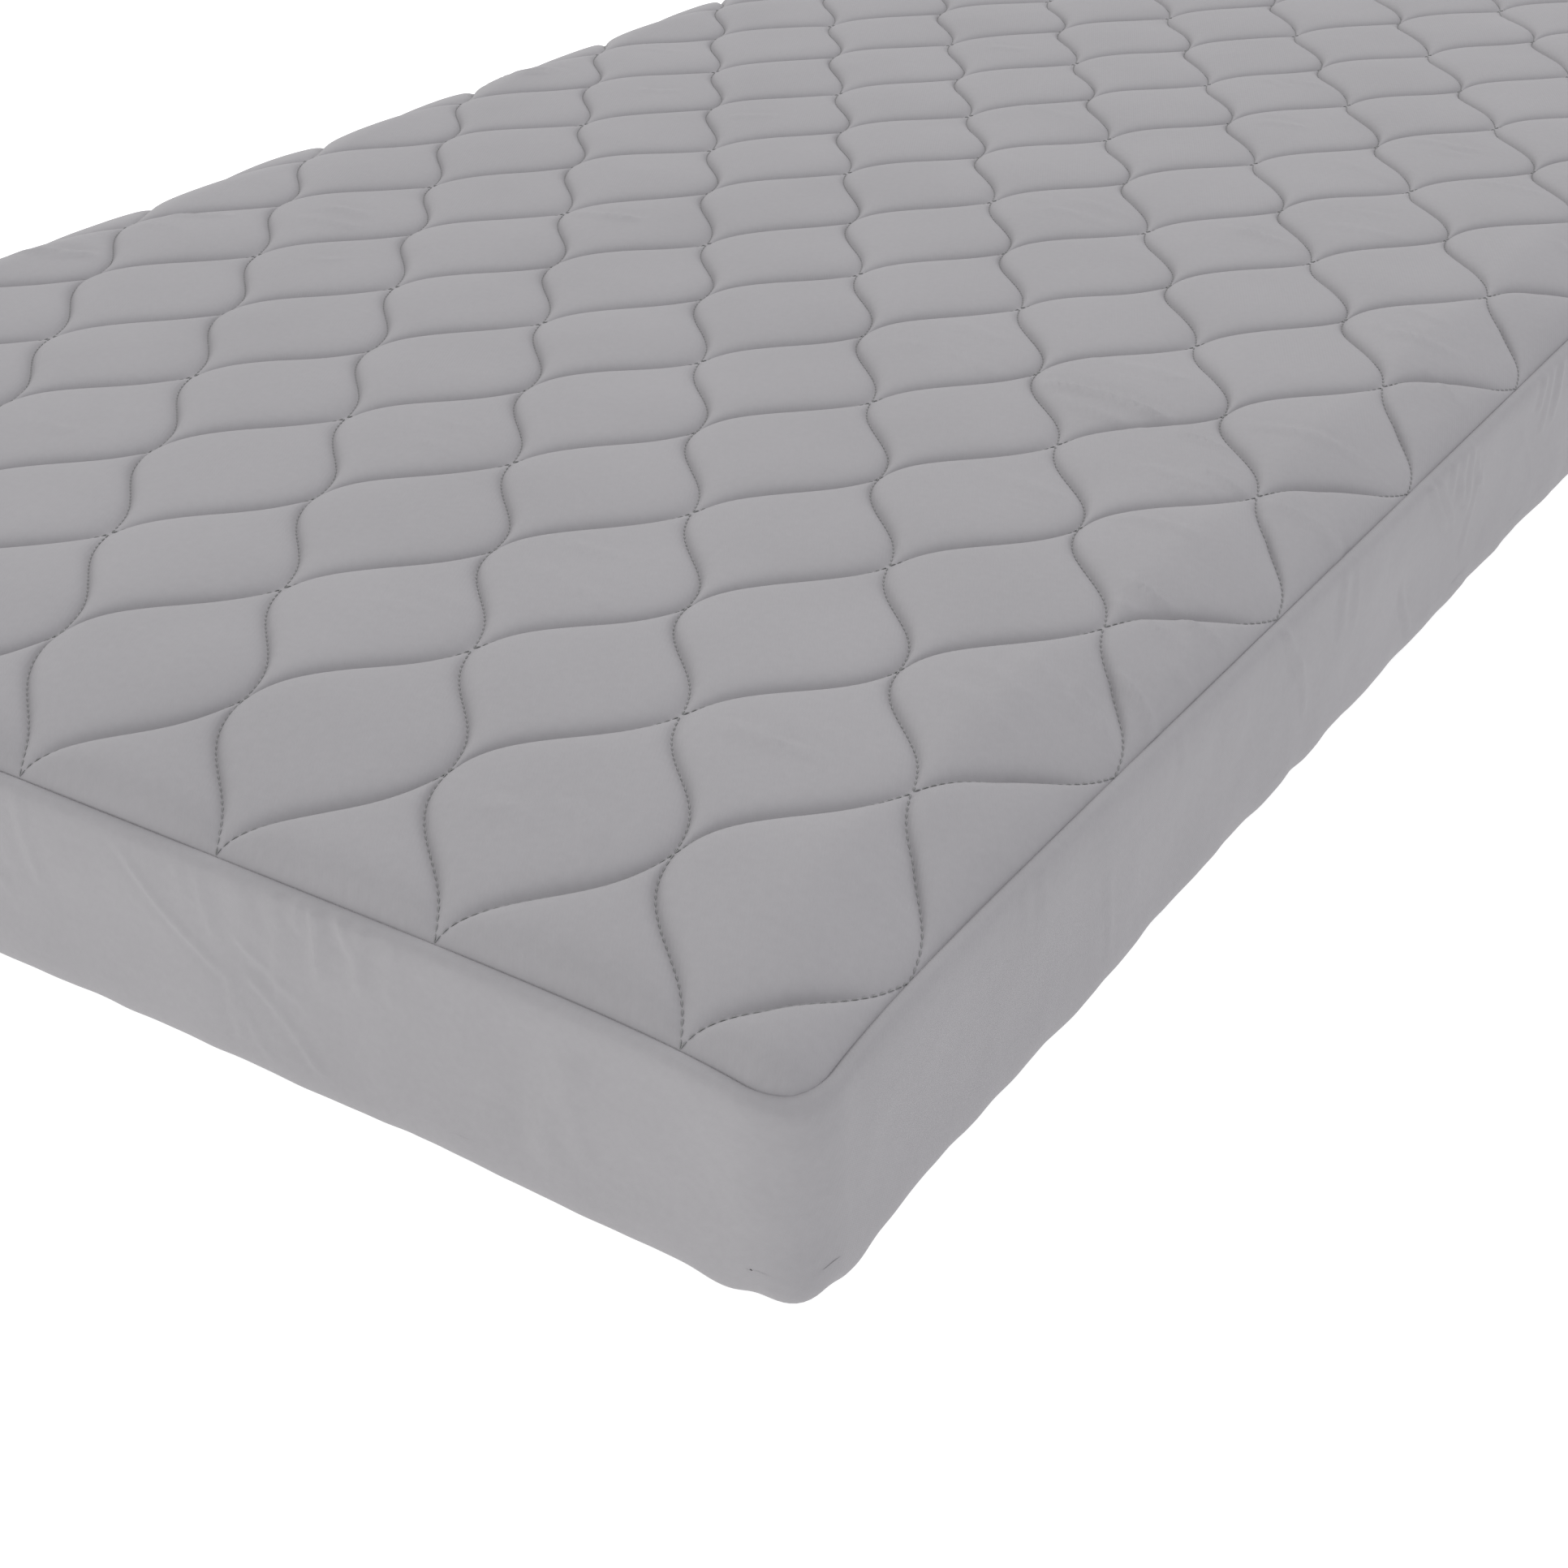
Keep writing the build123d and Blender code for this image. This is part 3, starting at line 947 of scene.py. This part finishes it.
def skirt_creases(middle_ring, around):
    """Creases in the side, over lengths round and down the cloth: the clearest ones, then puckers that start
    at the seam in groups, and long slanting streaks."""
    pick = random.Random(8)
    folds = []
    for x, y, height, heading, reach, width, rise, bow in SIDE_CREASES:
        nearest = np.argmin(np.hypot(middle_ring[:, 0] - x * MM, middle_ring[:, 1] - y * MM))
        down = (SEAM_TO_TOP - height) * MM
        lean = math.radians(heading)
        folds.append((around[nearest], down, lean, reach * MM, width * MM, rise * MM, bow * MM))
    near_corner = np.hypot(np.abs(middle_ring[:, 0]) - HALF_WIDTH, np.abs(middle_ring[:, 1]) - HALF_LENGTH)

    def plain(at):
        return near_corner[np.searchsorted(around, at) % len(around)] < CORNER_PLAIN

    place = 0.0
    while place < around[-1]:
        place += pick.uniform(90, 240) * MM
        lean = math.radians(pick.uniform(75, 105))
        for number in range(pick.choice((1, 2, 2, 3, 4))):
            reach = pick.uniform(22, 50) * MM
            at = place + number * pick.uniform(9, 17) * MM
            rise = pick.uniform(0.4, 1.1) * MM * (not plain(at))
            folds.append((at, 10 * MM + reach / 2, lean, reach, pick.uniform(2.8, 4.5) * MM, rise, 2 * MM))
    place = 0.0
    while place < around[-1]:
        place += pick.uniform(80, 260) * MM
        lean = math.radians(pick.choice((44, 52, 60, 112, 100, 82)) + pick.uniform(-6, 6))
        reach = pick.uniform(45, 95) * MM
        down = pick.uniform(40, 70) * MM
        rise = pick.uniform(0.4, 1.0) * MM * (not plain(place))
        width = pick.uniform(2.4, 4.5) * MM
        folds.append((place, down, lean, reach, width, rise, pick.uniform(-5, 5) * MM))
    return folds


def skirt():
    """The plain skirt, with slow waves and creases in its side and a bottom edge that is not quite level."""
    profile, lengths = skirt_profile()
    rings = np.array([FINEST.level(inset, skirt_corner(inset), height) for inset, height in profile])
    normals = FINEST.ring(HEM_INSET, HEM_RADIUS)[1]
    middle = np.argmin(np.abs(profile[:, 1] - 60 * MM))
    down = np.broadcast_to(lengths[:, None], rings.shape[:2])
    around = np.broadcast_to(arc_lengths(rings[middle:middle + 1]), rings.shape[:2])

    x, y, z = np.moveaxis(rings.copy(), -1, 0)
    corner = corner_share(x, y)
    from_corner = np.hypot(np.abs(x) - HALF_WIDTH + 3 * MM, np.abs(y) - HALF_LENGTH + 3 * MM)
    low = np.clip(1 - z / (60 * MM), 0, 1)
    high = np.clip(z / (100 * MM), 0, 1)
    side_length = lengths[np.argmax((profile[:, 1] < SIDE_BOTTOM) & (profile[:, 0] > 0))]
    to_bottom = side_length - down
    free = ease((down - SEAM_HOLD) / SEAM_RUN) * np.clip(to_bottom / BOTTOM_RUN + 1, 0.2, 1)

    ripple = RIPPLE[0] * wave_noise(rings, RIPPLE[1], 11.2)
    slow = SLOW_WAVE[0] * wave_noise(rings * (1, 1, 0.4), SLOW_WAVE[1], 4.4, 2)
    push = np.clip(ripple + slow + 0.5 * MM, *PUSH_LIMITS) * free
    edge_fade = ease((down - 9 * MM) / (6 * MM)) * ease(to_bottom / (14 * MM))
    push += creases(around, down, skirt_creases(rings[middle], around[0])) * edge_fade
    frill = FRILL[0] * wave_noise(rings * (1, 1, 0), FRILL[1], 23.0, 2)
    push += frill * low ** 3 * (to_bottom > -FRILL_UNDER)
    push += CORNER_POINT * corner + EAR_OUT * np.exp(-(from_corner / EAR_REACH) ** 2) * low ** 2
    rings[..., :2] += normals * push[..., None]

    hanging = ease(1 - to_bottom / BOTTOM_RUN) * (z < 20 * MM)
    drop = sum(size * np.exp(-((from_corner - at) / width) ** 2) for at, width, size in CORNER_DROPS)
    level = BOTTOM_LIFT * (1 + 0.9 * wave_noise(rings * (1, 1, 0), FRILL[1], 8.1))
    rings[..., 2] += hanging * np.maximum(level - drop, 0.4 * MM - z)
    rings[..., 2] -= CORNER_SAG * corner * high
    cloth = cloth_places(around, down)
    faces = grid_faces(*rings.shape[:2])
    return cut_to_lengths("skirt", rings, faces, cloth, SKIRT_CLOTH, SKIRT_CLOTH_THICKNESS, {1})


# ------------ hem, elastic

HEM_WIDTH = 14 * MM
HEM_LEVELS = (0.4 * MM, 3.2 * MM)
HEM_FABRIC = 0.4 * MM
ELASTIC_WIDTH = 9 * MM
ELASTIC_INSET = HEM_INSET + 2.5 * MM
ELASTIC_TOP = 2.3 * MM
ELASTIC_THICKNESS = 1.1 * MM
GATHER_PITCH = 11 * MM
GATHER = 0.8 * MM
TUBE_SIDES = 16


def hem_casing():
    """The hem's flat tube, gathered into small even folds."""
    rings = []
    middle = (HEM_LEVELS[0] + HEM_LEVELS[1]) / 2
    half_height = (HEM_LEVELS[1] - HEM_LEVELS[0]) / 2
    for step in range(TUBE_SIDES + 1):
        turn = 2 * math.pi * step / TUBE_SIDES
        across = math.copysign(abs(math.cos(turn)) ** 0.6, math.cos(turn))
        place = HEM_INSET + HEM_WIDTH / 2 * (1 - across)
        height = middle - half_height * math.sin(turn)
        rings.append(FINE.level(place, HEM_RADIUS + HEM_INSET - place, height))
    rings = np.array(rings)
    normals = FINE.ring(HEM_INSET, HEM_RADIUS)[1]
    around = arc_lengths(rings[:1])
    fold = np.sin(2 * np.pi * around / GATHER_PITCH + 2 * wave_noise(rings[:1], 0.05, 6.3))
    rings[..., 2] += GATHER * 0.35 * fold * (rings[..., 2] > middle)
    rings[..., :2] += normals * (GATHER * fold)[..., None]
    girth = np.concatenate([[0], np.cumsum(np.linalg.norm(np.diff(rings[:, 0], axis=0), axis=1))])
    cloth = cloth_places(around, girth[:, None])
    rings[-1] = rings[0]
    faces = grid_faces(*rings.shape[:2])
    return cut_to_lengths("hem_casing", rings, faces, cloth, HEM_CLOTH, HEM_FABRIC, {1})


def elastic_band():
    """The elastic in the hem, a flat woven band, slightly crimped."""
    insets = np.linspace(ELASTIC_INSET, ELASTIC_INSET + ELASTIC_WIDTH, 6)
    rings = np.array([FINE.level(inset, HEM_RADIUS + HEM_INSET - inset, ELASTIC_TOP) for inset in insets])
    around = arc_lengths(rings[:1])
    rings[..., 2] += 0.2 * MM * np.sin(2 * np.pi * around / GATHER_PITCH)
    cloth = cloth_places(around, insets[:, None])
    faces = grid_faces(*rings.shape[:2])[:, ::-1]
    return cut_to_lengths("hem_elastic", rings, faces, cloth, ELASTIC, ELASTIC_THICKNESS, {1})


# ------------ sleeve

SLEEVE_INSET = 4 * MM
SLEEVE_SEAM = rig.box("sleeve_base_seat")[1].z
SLEEVE_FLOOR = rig.box("sleeve_base_seat")[0].z
SLEEVE_CLOTH_THICKNESS = 0.8 * MM
SLEEVE_CORNER = 28 * MM


def sleeve_corner(inset):
    return max(SLEEVE_CORNER + SLEEVE_INSET - inset, LEAST_CORNER)


def sleeve_half(name, profile, cover, material):
    """Half of the sleeve: rings of (inset, height) up or down the side, then rows across to fill them.
    cover gives the height of the part that lies flat."""
    rings = []
    for inset, height in profile:
        points = COARSE.ring(inset, sleeve_corner(inset))[0]
        heights = cover(points[:, 0], points[:, 1]) if height is None else np.full(len(points), height)
        rings.append(np.column_stack([points, heights]))
    rings = np.array(rings)
    rows = COARSE.rows_across(rings[-1])
    rows[..., 2] = cover(rows[..., 0], rows[..., 1])
    points = np.concatenate([rings.reshape(-1, 3), rows.reshape(-1, 3)])
    side_cloth = cloth_places(arc_lengths(rings[:1]), rings[..., 2]).reshape(-1, 3)
    cloth = np.concatenate([side_cloth, rows.reshape(-1, 3) * (1, 1, 0)])
    faces = np.concatenate([grid_faces(*rings.shape[:2]), grid_faces(*rows.shape[:2], rings[..., 0].size)])
    if name == "sleeve_top":
        faces = faces[:, ::-1]
    return cut_to_lengths(name, points, faces, cloth, material, SLEEVE_CLOTH_THICKNESS)


def sleeve_top():
    """The stretch fabric, from the seam in the side up and over the foam."""
    shoulder = EDGE_UNDERSIDE - SLEEVE_GAP
    side = shoulder - 6 * MM - SLEEVE_SEAM
    profile = [(SLEEVE_INSET, SLEEVE_SEAM + side * step / 6) for step in range(7)]
    profile += [(SLEEVE_INSET + 1 * MM, shoulder - 3 * MM), (SLEEVE_INSET + 3 * MM, shoulder - 1 * MM)]
    profile += [(inset * MM, None) for inset in (9, 14, 20, 27, 36, 48, 70)]
    return sleeve_half("sleeve_top", profile, lambda x, y: under_panel(x, y, SLEEVE_GAP), SLEEVE_STRETCH)


def sleeve_base():
    """The heavier base fabric, from the seam in the side down and across the underside."""
    profile = [(SLEEVE_INSET, SLEEVE_SEAM + (11 * MM - SLEEVE_SEAM) * step / 3) for step in range(4)]
    profile += [(SLEEVE_INSET + 0.9 * MM, 7.6 * MM), (SLEEVE_INSET + 3 * MM, 5.2 * MM)]
    profile += [(inset * MM, None) for inset in (9, 16, 30, 50, 70)]

    def slack(x, y):
        places = np.stack([x, y, 0 * x], -1)
        return SLEEVE_FLOOR + 0.4 * MM * (1 + wave_noise(places, 0.16, 2.9, 2))

    return sleeve_half("sleeve_base", profile, slack, SLEEVE_BASE)


# ------------ foam

CUT_WALL = 0.2 * MM
FOAM_STEP = 24 * MM
FOAM_EDGE = 5 * MM
LEAN_REACH = 60 * MM


def lines_between(low, high, cuts, half_cut, edge):
    """Grid lines from low to high, close together at the ends and at each side of every cut."""
    marks = [low, low + edge / 3, low + edge, high - edge, high - edge / 3, high]
    for cut in cuts:
        if low + edge < cut - half_cut and cut + half_cut < high - edge:
            marks += [cut - half_cut - CUT_WALL, cut - half_cut, cut + half_cut, cut + half_cut + CUT_WALL]
    marks = sorted(marks)
    lines = []
    for start, end in zip(marks, marks[1:]):
        lines += list(np.linspace(start, end, max(1, math.ceil((end - start) / FOAM_STEP)), endpoint=False))
    return np.array(lines + [marks[-1]])


def in_cut(places, cuts, half_cut):
    """Which places are inside a cut."""
    inside = np.zeros(np.shape(places), bool)
    for cut in cuts:
        inside |= np.abs(places - cut) < half_cut + CUT_WALL / 2
    return inside


def foam_block(node, material, top_cuts=((), ()), bottom_cuts=(), half_cut=0.0, depth=0.0, lean=(0, 0)):
    """A block of foam in a node's place, under the panel's shape, with cuts from above or below. lean is how
    far the underside stands back from the node's two ends, where the knee fold has its wedge."""
    low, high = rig.box(node)
    low_x, high_x = np.clip((low.x, high.x), FOAM_SIDE - HALF_WIDTH, HALF_WIDTH - FOAM_SIDE)
    low_y, high_y = np.clip((low.y, high.y), FOAM_SIDE - HALF_LENGTH, HALF_LENGTH - FOAM_SIDE)
    xs = lines_between(low_x, high_x, top_cuts[0], half_cut, FOAM_EDGE)
    ys = lines_between(low_y, high_y, tuple(top_cuts[1]) + tuple(bottom_cuts), half_cut, FOAM_EDGE)
    x, y = np.meshgrid(xs, ys, indexing="ij")
    side = np.minimum(np.abs(x - low_x), np.abs(x - high_x))
    end = np.minimum(np.abs(y - low_y), np.abs(y - high_y))
    rounding = 0.8 * MM * (np.exp(-side / (2 * MM)) + np.exp(-end / (2 * MM)))
    top = np.minimum(high.z, under_panel(x, y, FOAM_GAP)) - rounding
    top -= depth * (in_cut(x, top_cuts[0], half_cut) | in_cut(y, top_cuts[1], half_cut))
    bottom = low.z + rounding + depth * in_cut(y, bottom_cuts, half_cut)
    corner = SLEEVE_CORNER - 1 * MM
    plan_x, plan_y = round_corners(x, y, HALF_WIDTH - FOAM_SIDE, HALF_LENGTH - FOAM_SIDE, corner)
    middle = (low_y + high_y) / 2
    pull = np.clip(1 - end / LEAN_REACH, 0, 1)
    pulled = plan_y + np.where(y < middle, lean[0], -lean[1]) * pull
    upper = np.stack([plan_x, plan_y, top], -1).reshape(-1, 3)
    lower = np.stack([plan_x, pulled, bottom], -1).reshape(-1, 3)
    number = np.arange(x.size).reshape(x.shape)
    tops = cell_corners(number).reshape(-1, 4)
    bottoms = tops[:, ::-1] + x.size
    border = np.concatenate([number[:, 0], number[-1, 1:], number[-2::-1, -1], number[0, -2:0:-1]])
    after = np.roll(border, -1)
    walls = np.stack([border + x.size, after + x.size, after, border], -1)
    points = np.concatenate([upper, lower])
    piece = make_piece(f"{node}_block", points, [tuple(f) for f in (*tops, *bottoms, *walls)], material)
    bevel = piece.modifiers.new("edges", "BEVEL")
    bevel.width = 0.6 * MM
    bevel.limit_method = "ANGLE"
    bevel.angle_limit = math.radians(50)
    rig.ride(piece, f"{node.split('_')[-1]}_section" if node != "heel_foam" else "calf_section")
    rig.replaces(piece, node)
    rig.padded(piece, fill=1.0)
    return piece


# ------------ assembling

FOLD_ORDER = ("knee_fold", "thigh_fold", "backrest_fold")
SECTIONS = ("calf", "thigh", "seat", "back")
STANDS_FOR = (("calf",), ("thigh",), ("seat", "back"))
LENGTHS = (CUTS[0] + HALF_LENGTH, CUTS[1] - CUTS[0], HALF_LENGTH - CUTS[1])
MIDDLE_LENGTH = 1


def length_number(piece):
    """Which of the three lengths a piece is in, from the number in its name."""
    return int(next(part for part in piece.name.split("_") if part.isdigit())) - 1


def bend(piece):
    """Bends a piece with the fold that its length crosses."""
    length = length_number(piece)
    fold_y = FOLDS[FOLD_ORDER[length]]
    first, second = (f"{section}_section" for section in SECTIONS[length:length + 2])
    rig.blend(piece, first, second, start=(0, fold_y - FOLD_REACH, 0), end=(0, fold_y + FOLD_REACH, 0))


def stand_for(pieces, *layers):
    """Bends the three lengths of a layer, and lets them stand for its four sections in CAD."""
    first_of_length = {}
    for piece in pieces:
        bend(piece)
        first_of_length.setdefault(length_number(piece), piece)
    for layer in layers:
        for length, sections in enumerate(STANDS_FOR):
            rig.replaces(first_of_length[length], *[f"{layer}_{section}" for section in sections])


def strip_cut(piece, width, inset):
    """Flat size of a strip that lies in from the outline by inset: along one side in the middle length, and
    along both sides and the end in the others."""
    length = LENGTHS[length_number(piece)]
    if length_number(piece) != MIDDLE_LENGTH:
        length = 2 * (length + HALF_WIDTH - 2 * inset)
    return width, length


def sheet_cut(piece, side_height):
    """Flat size of a sheet that turns over the sides, and over the end in the two end lengths."""
    turned = side_height - SLEEVE_INSET
    over_end = 0 if length_number(piece) == MIDDLE_LENGTH else turned
    return 2 * (HALF_WIDTH + turned), LENGTHS[length_number(piece)] + over_end


def add_cloth(pieces, layer, slot, held, under, cut, *sizes):
    """Shows a layer of cloth in place of its CAD nodes, and declares each length a sheet. under is the
    pieces that it lies on, and cut gives a length's flat size."""
    stand_for(pieces.values(), layer)
    for name, piece in pieces.items():
        place = name.removeprefix(layer)
        whole_width = place[:2]
        on = [other for other in under if other.endswith((place, whole_width))]
        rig.slot(piece, slot)
        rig.sheet(piece, flat=cut(piece, *sizes), held=held, rests_on=on or under)


# Foam: relief cuts run both ways across the top layer, profile cuts across the underside of the base layer
RELIEF_BLOCK = 95 * MM
RELIEF_HALF_CUT = 2 * MM
RELIEF_DEPTH = 20 * MM
PROFILE_SPACING = 83 * MM
PROFILE_HALF_CUT = 2.5 * MM
PROFILE_DEPTH = 30 * MM
KNEE_LEAN = 15 * MM
RELIEF_CUTS = (
    [n * RELIEF_BLOCK for n in range(-3, 4)],
    [(n + 0.5) * RELIEF_BLOCK for n in range(-10, 11)],
)
PROFILE_CUTS = [FOLDS["knee_fold"] + (n + 0.5) * PROFILE_SPACING for n in range(1, 16)]
LEANS = {"calf": (0, KNEE_LEAN), "thigh": (KNEE_LEAN, 0), "seat": (0, 0), "back": (0, 0)}

for section in SECTIONS:
    for side in ("left", "right"):
        block = foam_block(f"bolster_{side}_{section}", BOLSTER_FOAM, lean=LEANS[section])
        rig.slot(block, "bolster_foam")
    block = foam_block(
        f"base_foam_{section}", BASE_FOAM, bottom_cuts=PROFILE_CUTS,
        half_cut=PROFILE_HALF_CUT, depth=PROFILE_DEPTH, lean=LEANS[section],
    )
    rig.slot(block, "base_foam")
    block = foam_block(f"relief_foam_{section}", RELIEF_FOAM, RELIEF_CUTS, (), RELIEF_HALF_CUT, RELIEF_DEPTH)
    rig.slot(block, "relief_foam")
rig.slot(foam_block("heel_foam", HEEL_FOAM, RELIEF_CUTS, (), RELIEF_HALF_CUT, RELIEF_DEPTH), "heel_foam")

panels = quilt_lengths()
stand_for(panels, "quilt_face", "quilt_wadding", "quilt_backing")
for panel in panels:
    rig.padded(panel, fill=0.6)
    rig.slot(panel, "quilted_face_fabric")

for thread in thread_lengths():
    bend(thread)

# The cloth lies in layers: sleeve round the foam, skirt round the sleeve, hem at the skirt's end
TOP_SIDE_HEIGHT = EDGE_UNDERSIDE - SLEEVE_SEAM
BASE_SIDE_HEIGHT = SLEEVE_SEAM - SLEEVE_FLOOR
SKIRT_DROP = skirt_profile()[1][-1]
HEM_GIRTH = 2 * (HEM_WIDTH + HEM_LEVELS[1] - HEM_LEVELS[0])
WEBBING = ELASTIC_WIDTH + 1 * MM
FOAM_TOPS = [f"relief_foam_{section}_block" for section in SECTIONS]
FOAM_BOTTOMS = [f"base_foam_{section}_block" for section in SECTIONS]

sleeve_tops = sleeve_top()
sleeve_bases = sleeve_base()
skirts = skirt()
hems = hem_casing()
elastics = elastic_band()
sleeves = [*sleeve_tops, *sleeve_bases]

for cloth in (
    (sleeve_tops, "sleeve_top", "sleeve_stretch_fabric", "stretched", FOAM_TOPS, sheet_cut, TOP_SIDE_HEIGHT),
    (sleeve_bases, "sleeve_base", "sleeve_base_fabric", "laid", FOAM_BOTTOMS, sheet_cut, BASE_SIDE_HEIGHT),
    (skirts, "skirt", "skirt_fabric", "stretched", sleeves, strip_cut, SKIRT_DROP, 0),
    (hems, "hem_casing", "hem_fabric", "gathered", list(skirts), strip_cut, HEM_GIRTH, HEM_INSET),
    (elastics, "hem_elastic", "elastic_band", "stretched", list(hems), strip_cut, WEBBING, HEM_INSET),
):
    add_cloth(*cloth)


# ------------ stage, light, camera

FLOOR_REACH = 30.0
# How strongly the floor glows on the left, and on the right, where it fades between these two places
GLOW = (0.84, 0.52)
GLOW_FADE = (0.3, 1.2)
LEFT_SKY = (1.24, 1.24, 1.23, 1)
RIGHT_SKY = (0.60, 0.60, 0.64, 1)
KEY_ENERGY = 0.65
KEY_TILT = -46
KEY_TURN = -4
KEY_SOFTNESS = 35


def studio_floor():
    """A pale floor that glows a little, less so on the right."""
    corners = [(x * FLOOR_REACH, y * FLOOR_REACH, 0) for x, y in ((-1, -1), (1, -1), (1, 1), (-1, 1))]
    material, shader = new_material("floor")
    shader.inputs["Base Color"].default_value = (0.5, 0.5, 0.5, 1)
    shader.inputs["Roughness"].default_value = 0.9
    shader.inputs["Emission Color"].default_value = (1, 1, 1, 1)
    place = node(material, "ShaderNodeTexCoord").outputs["Object"]
    parts = node(material, "ShaderNodeSeparateXYZ")
    link(material, place, parts.inputs[0])
    ranges = {"From Min": GLOW_FADE[0], "From Max": GLOW_FADE[1], "To Min": GLOW[0], "To Max": GLOW[1]}
    glow = node(material, "ShaderNodeMapRange", **ranges)
    link(material, parts.outputs[0], glow.inputs["Value"])
    link(material, glow.outputs[0], shader.inputs["Emission Strength"])
    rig.stage(make_piece("floor", corners, [(0, 1, 2, 3)], material))


def studio_light():
    """A soft sky, brighter on the left, and a soft high sun from beyond the head end."""
    world = bpy.data.worlds.new("studio")
    world.use_nodes = True
    parts = node(world, "ShaderNodeSeparateXYZ")
    side = node(world, "ShaderNodeMapRange", **{"From Min": -1})
    tone = node(world, "ShaderNodeMixRGB", Color1=LEFT_SKY, Color2=RIGHT_SKY)
    link(world, node(world, "ShaderNodeTexCoord").outputs["Generated"], parts.inputs[0])
    link(world, parts.outputs[0], side.inputs["Value"])
    link(world, side.outputs[0], tone.inputs[0])
    link(world, tone.outputs[0], world.node_tree.nodes["Background"].inputs[0])
    bpy.context.scene.world = world

    data = bpy.data.lights.new("key", "SUN")
    data.energy = KEY_ENERGY
    data.angle = math.radians(KEY_SOFTNESS)
    key = add_object("key", data)
    key.rotation_euler = Euler((math.radians(KEY_TILT), 0, math.radians(KEY_TURN)))
    bpy.context.scene.view_settings.view_transform = "Standard"


# The camera stands off the near right corner of the foot end.
CAMERA_FROM_CORNER = Vector((0.3498, -0.549, 0.6174))
CAMERA_HEADING = 32.98
CAMERA_DIP = 30.94
CAMERA_ROLL = -0.195
LENS = 56.38


def camera():
    data = bpy.data.cameras.new("camera")
    data.lens = LENS
    data.sensor_width = 36
    made = add_object("camera", data)
    heading = Matrix.Rotation(math.radians(CAMERA_HEADING), 4, "Z")
    dip = Matrix.Rotation(math.radians(90 - CAMERA_DIP), 4, "X")
    roll = Matrix.Rotation(math.radians(CAMERA_ROLL), 4, "Z")
    place = Matrix.Translation(Vector((HALF_WIDTH, -HALF_LENGTH, 0)) + CAMERA_FROM_CORNER)
    made.matrix_world = place @ heading @ dip @ roll
    bpy.context.scene.camera = made


studio_floor()
studio_light()
camera()

low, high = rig.bounds()
with open("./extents.json", "w") as out:
    json.dump({"cad": [list(CAD_LOW), list(CAD_HIGH)], "visual": [list(low), list(high)]}, out)
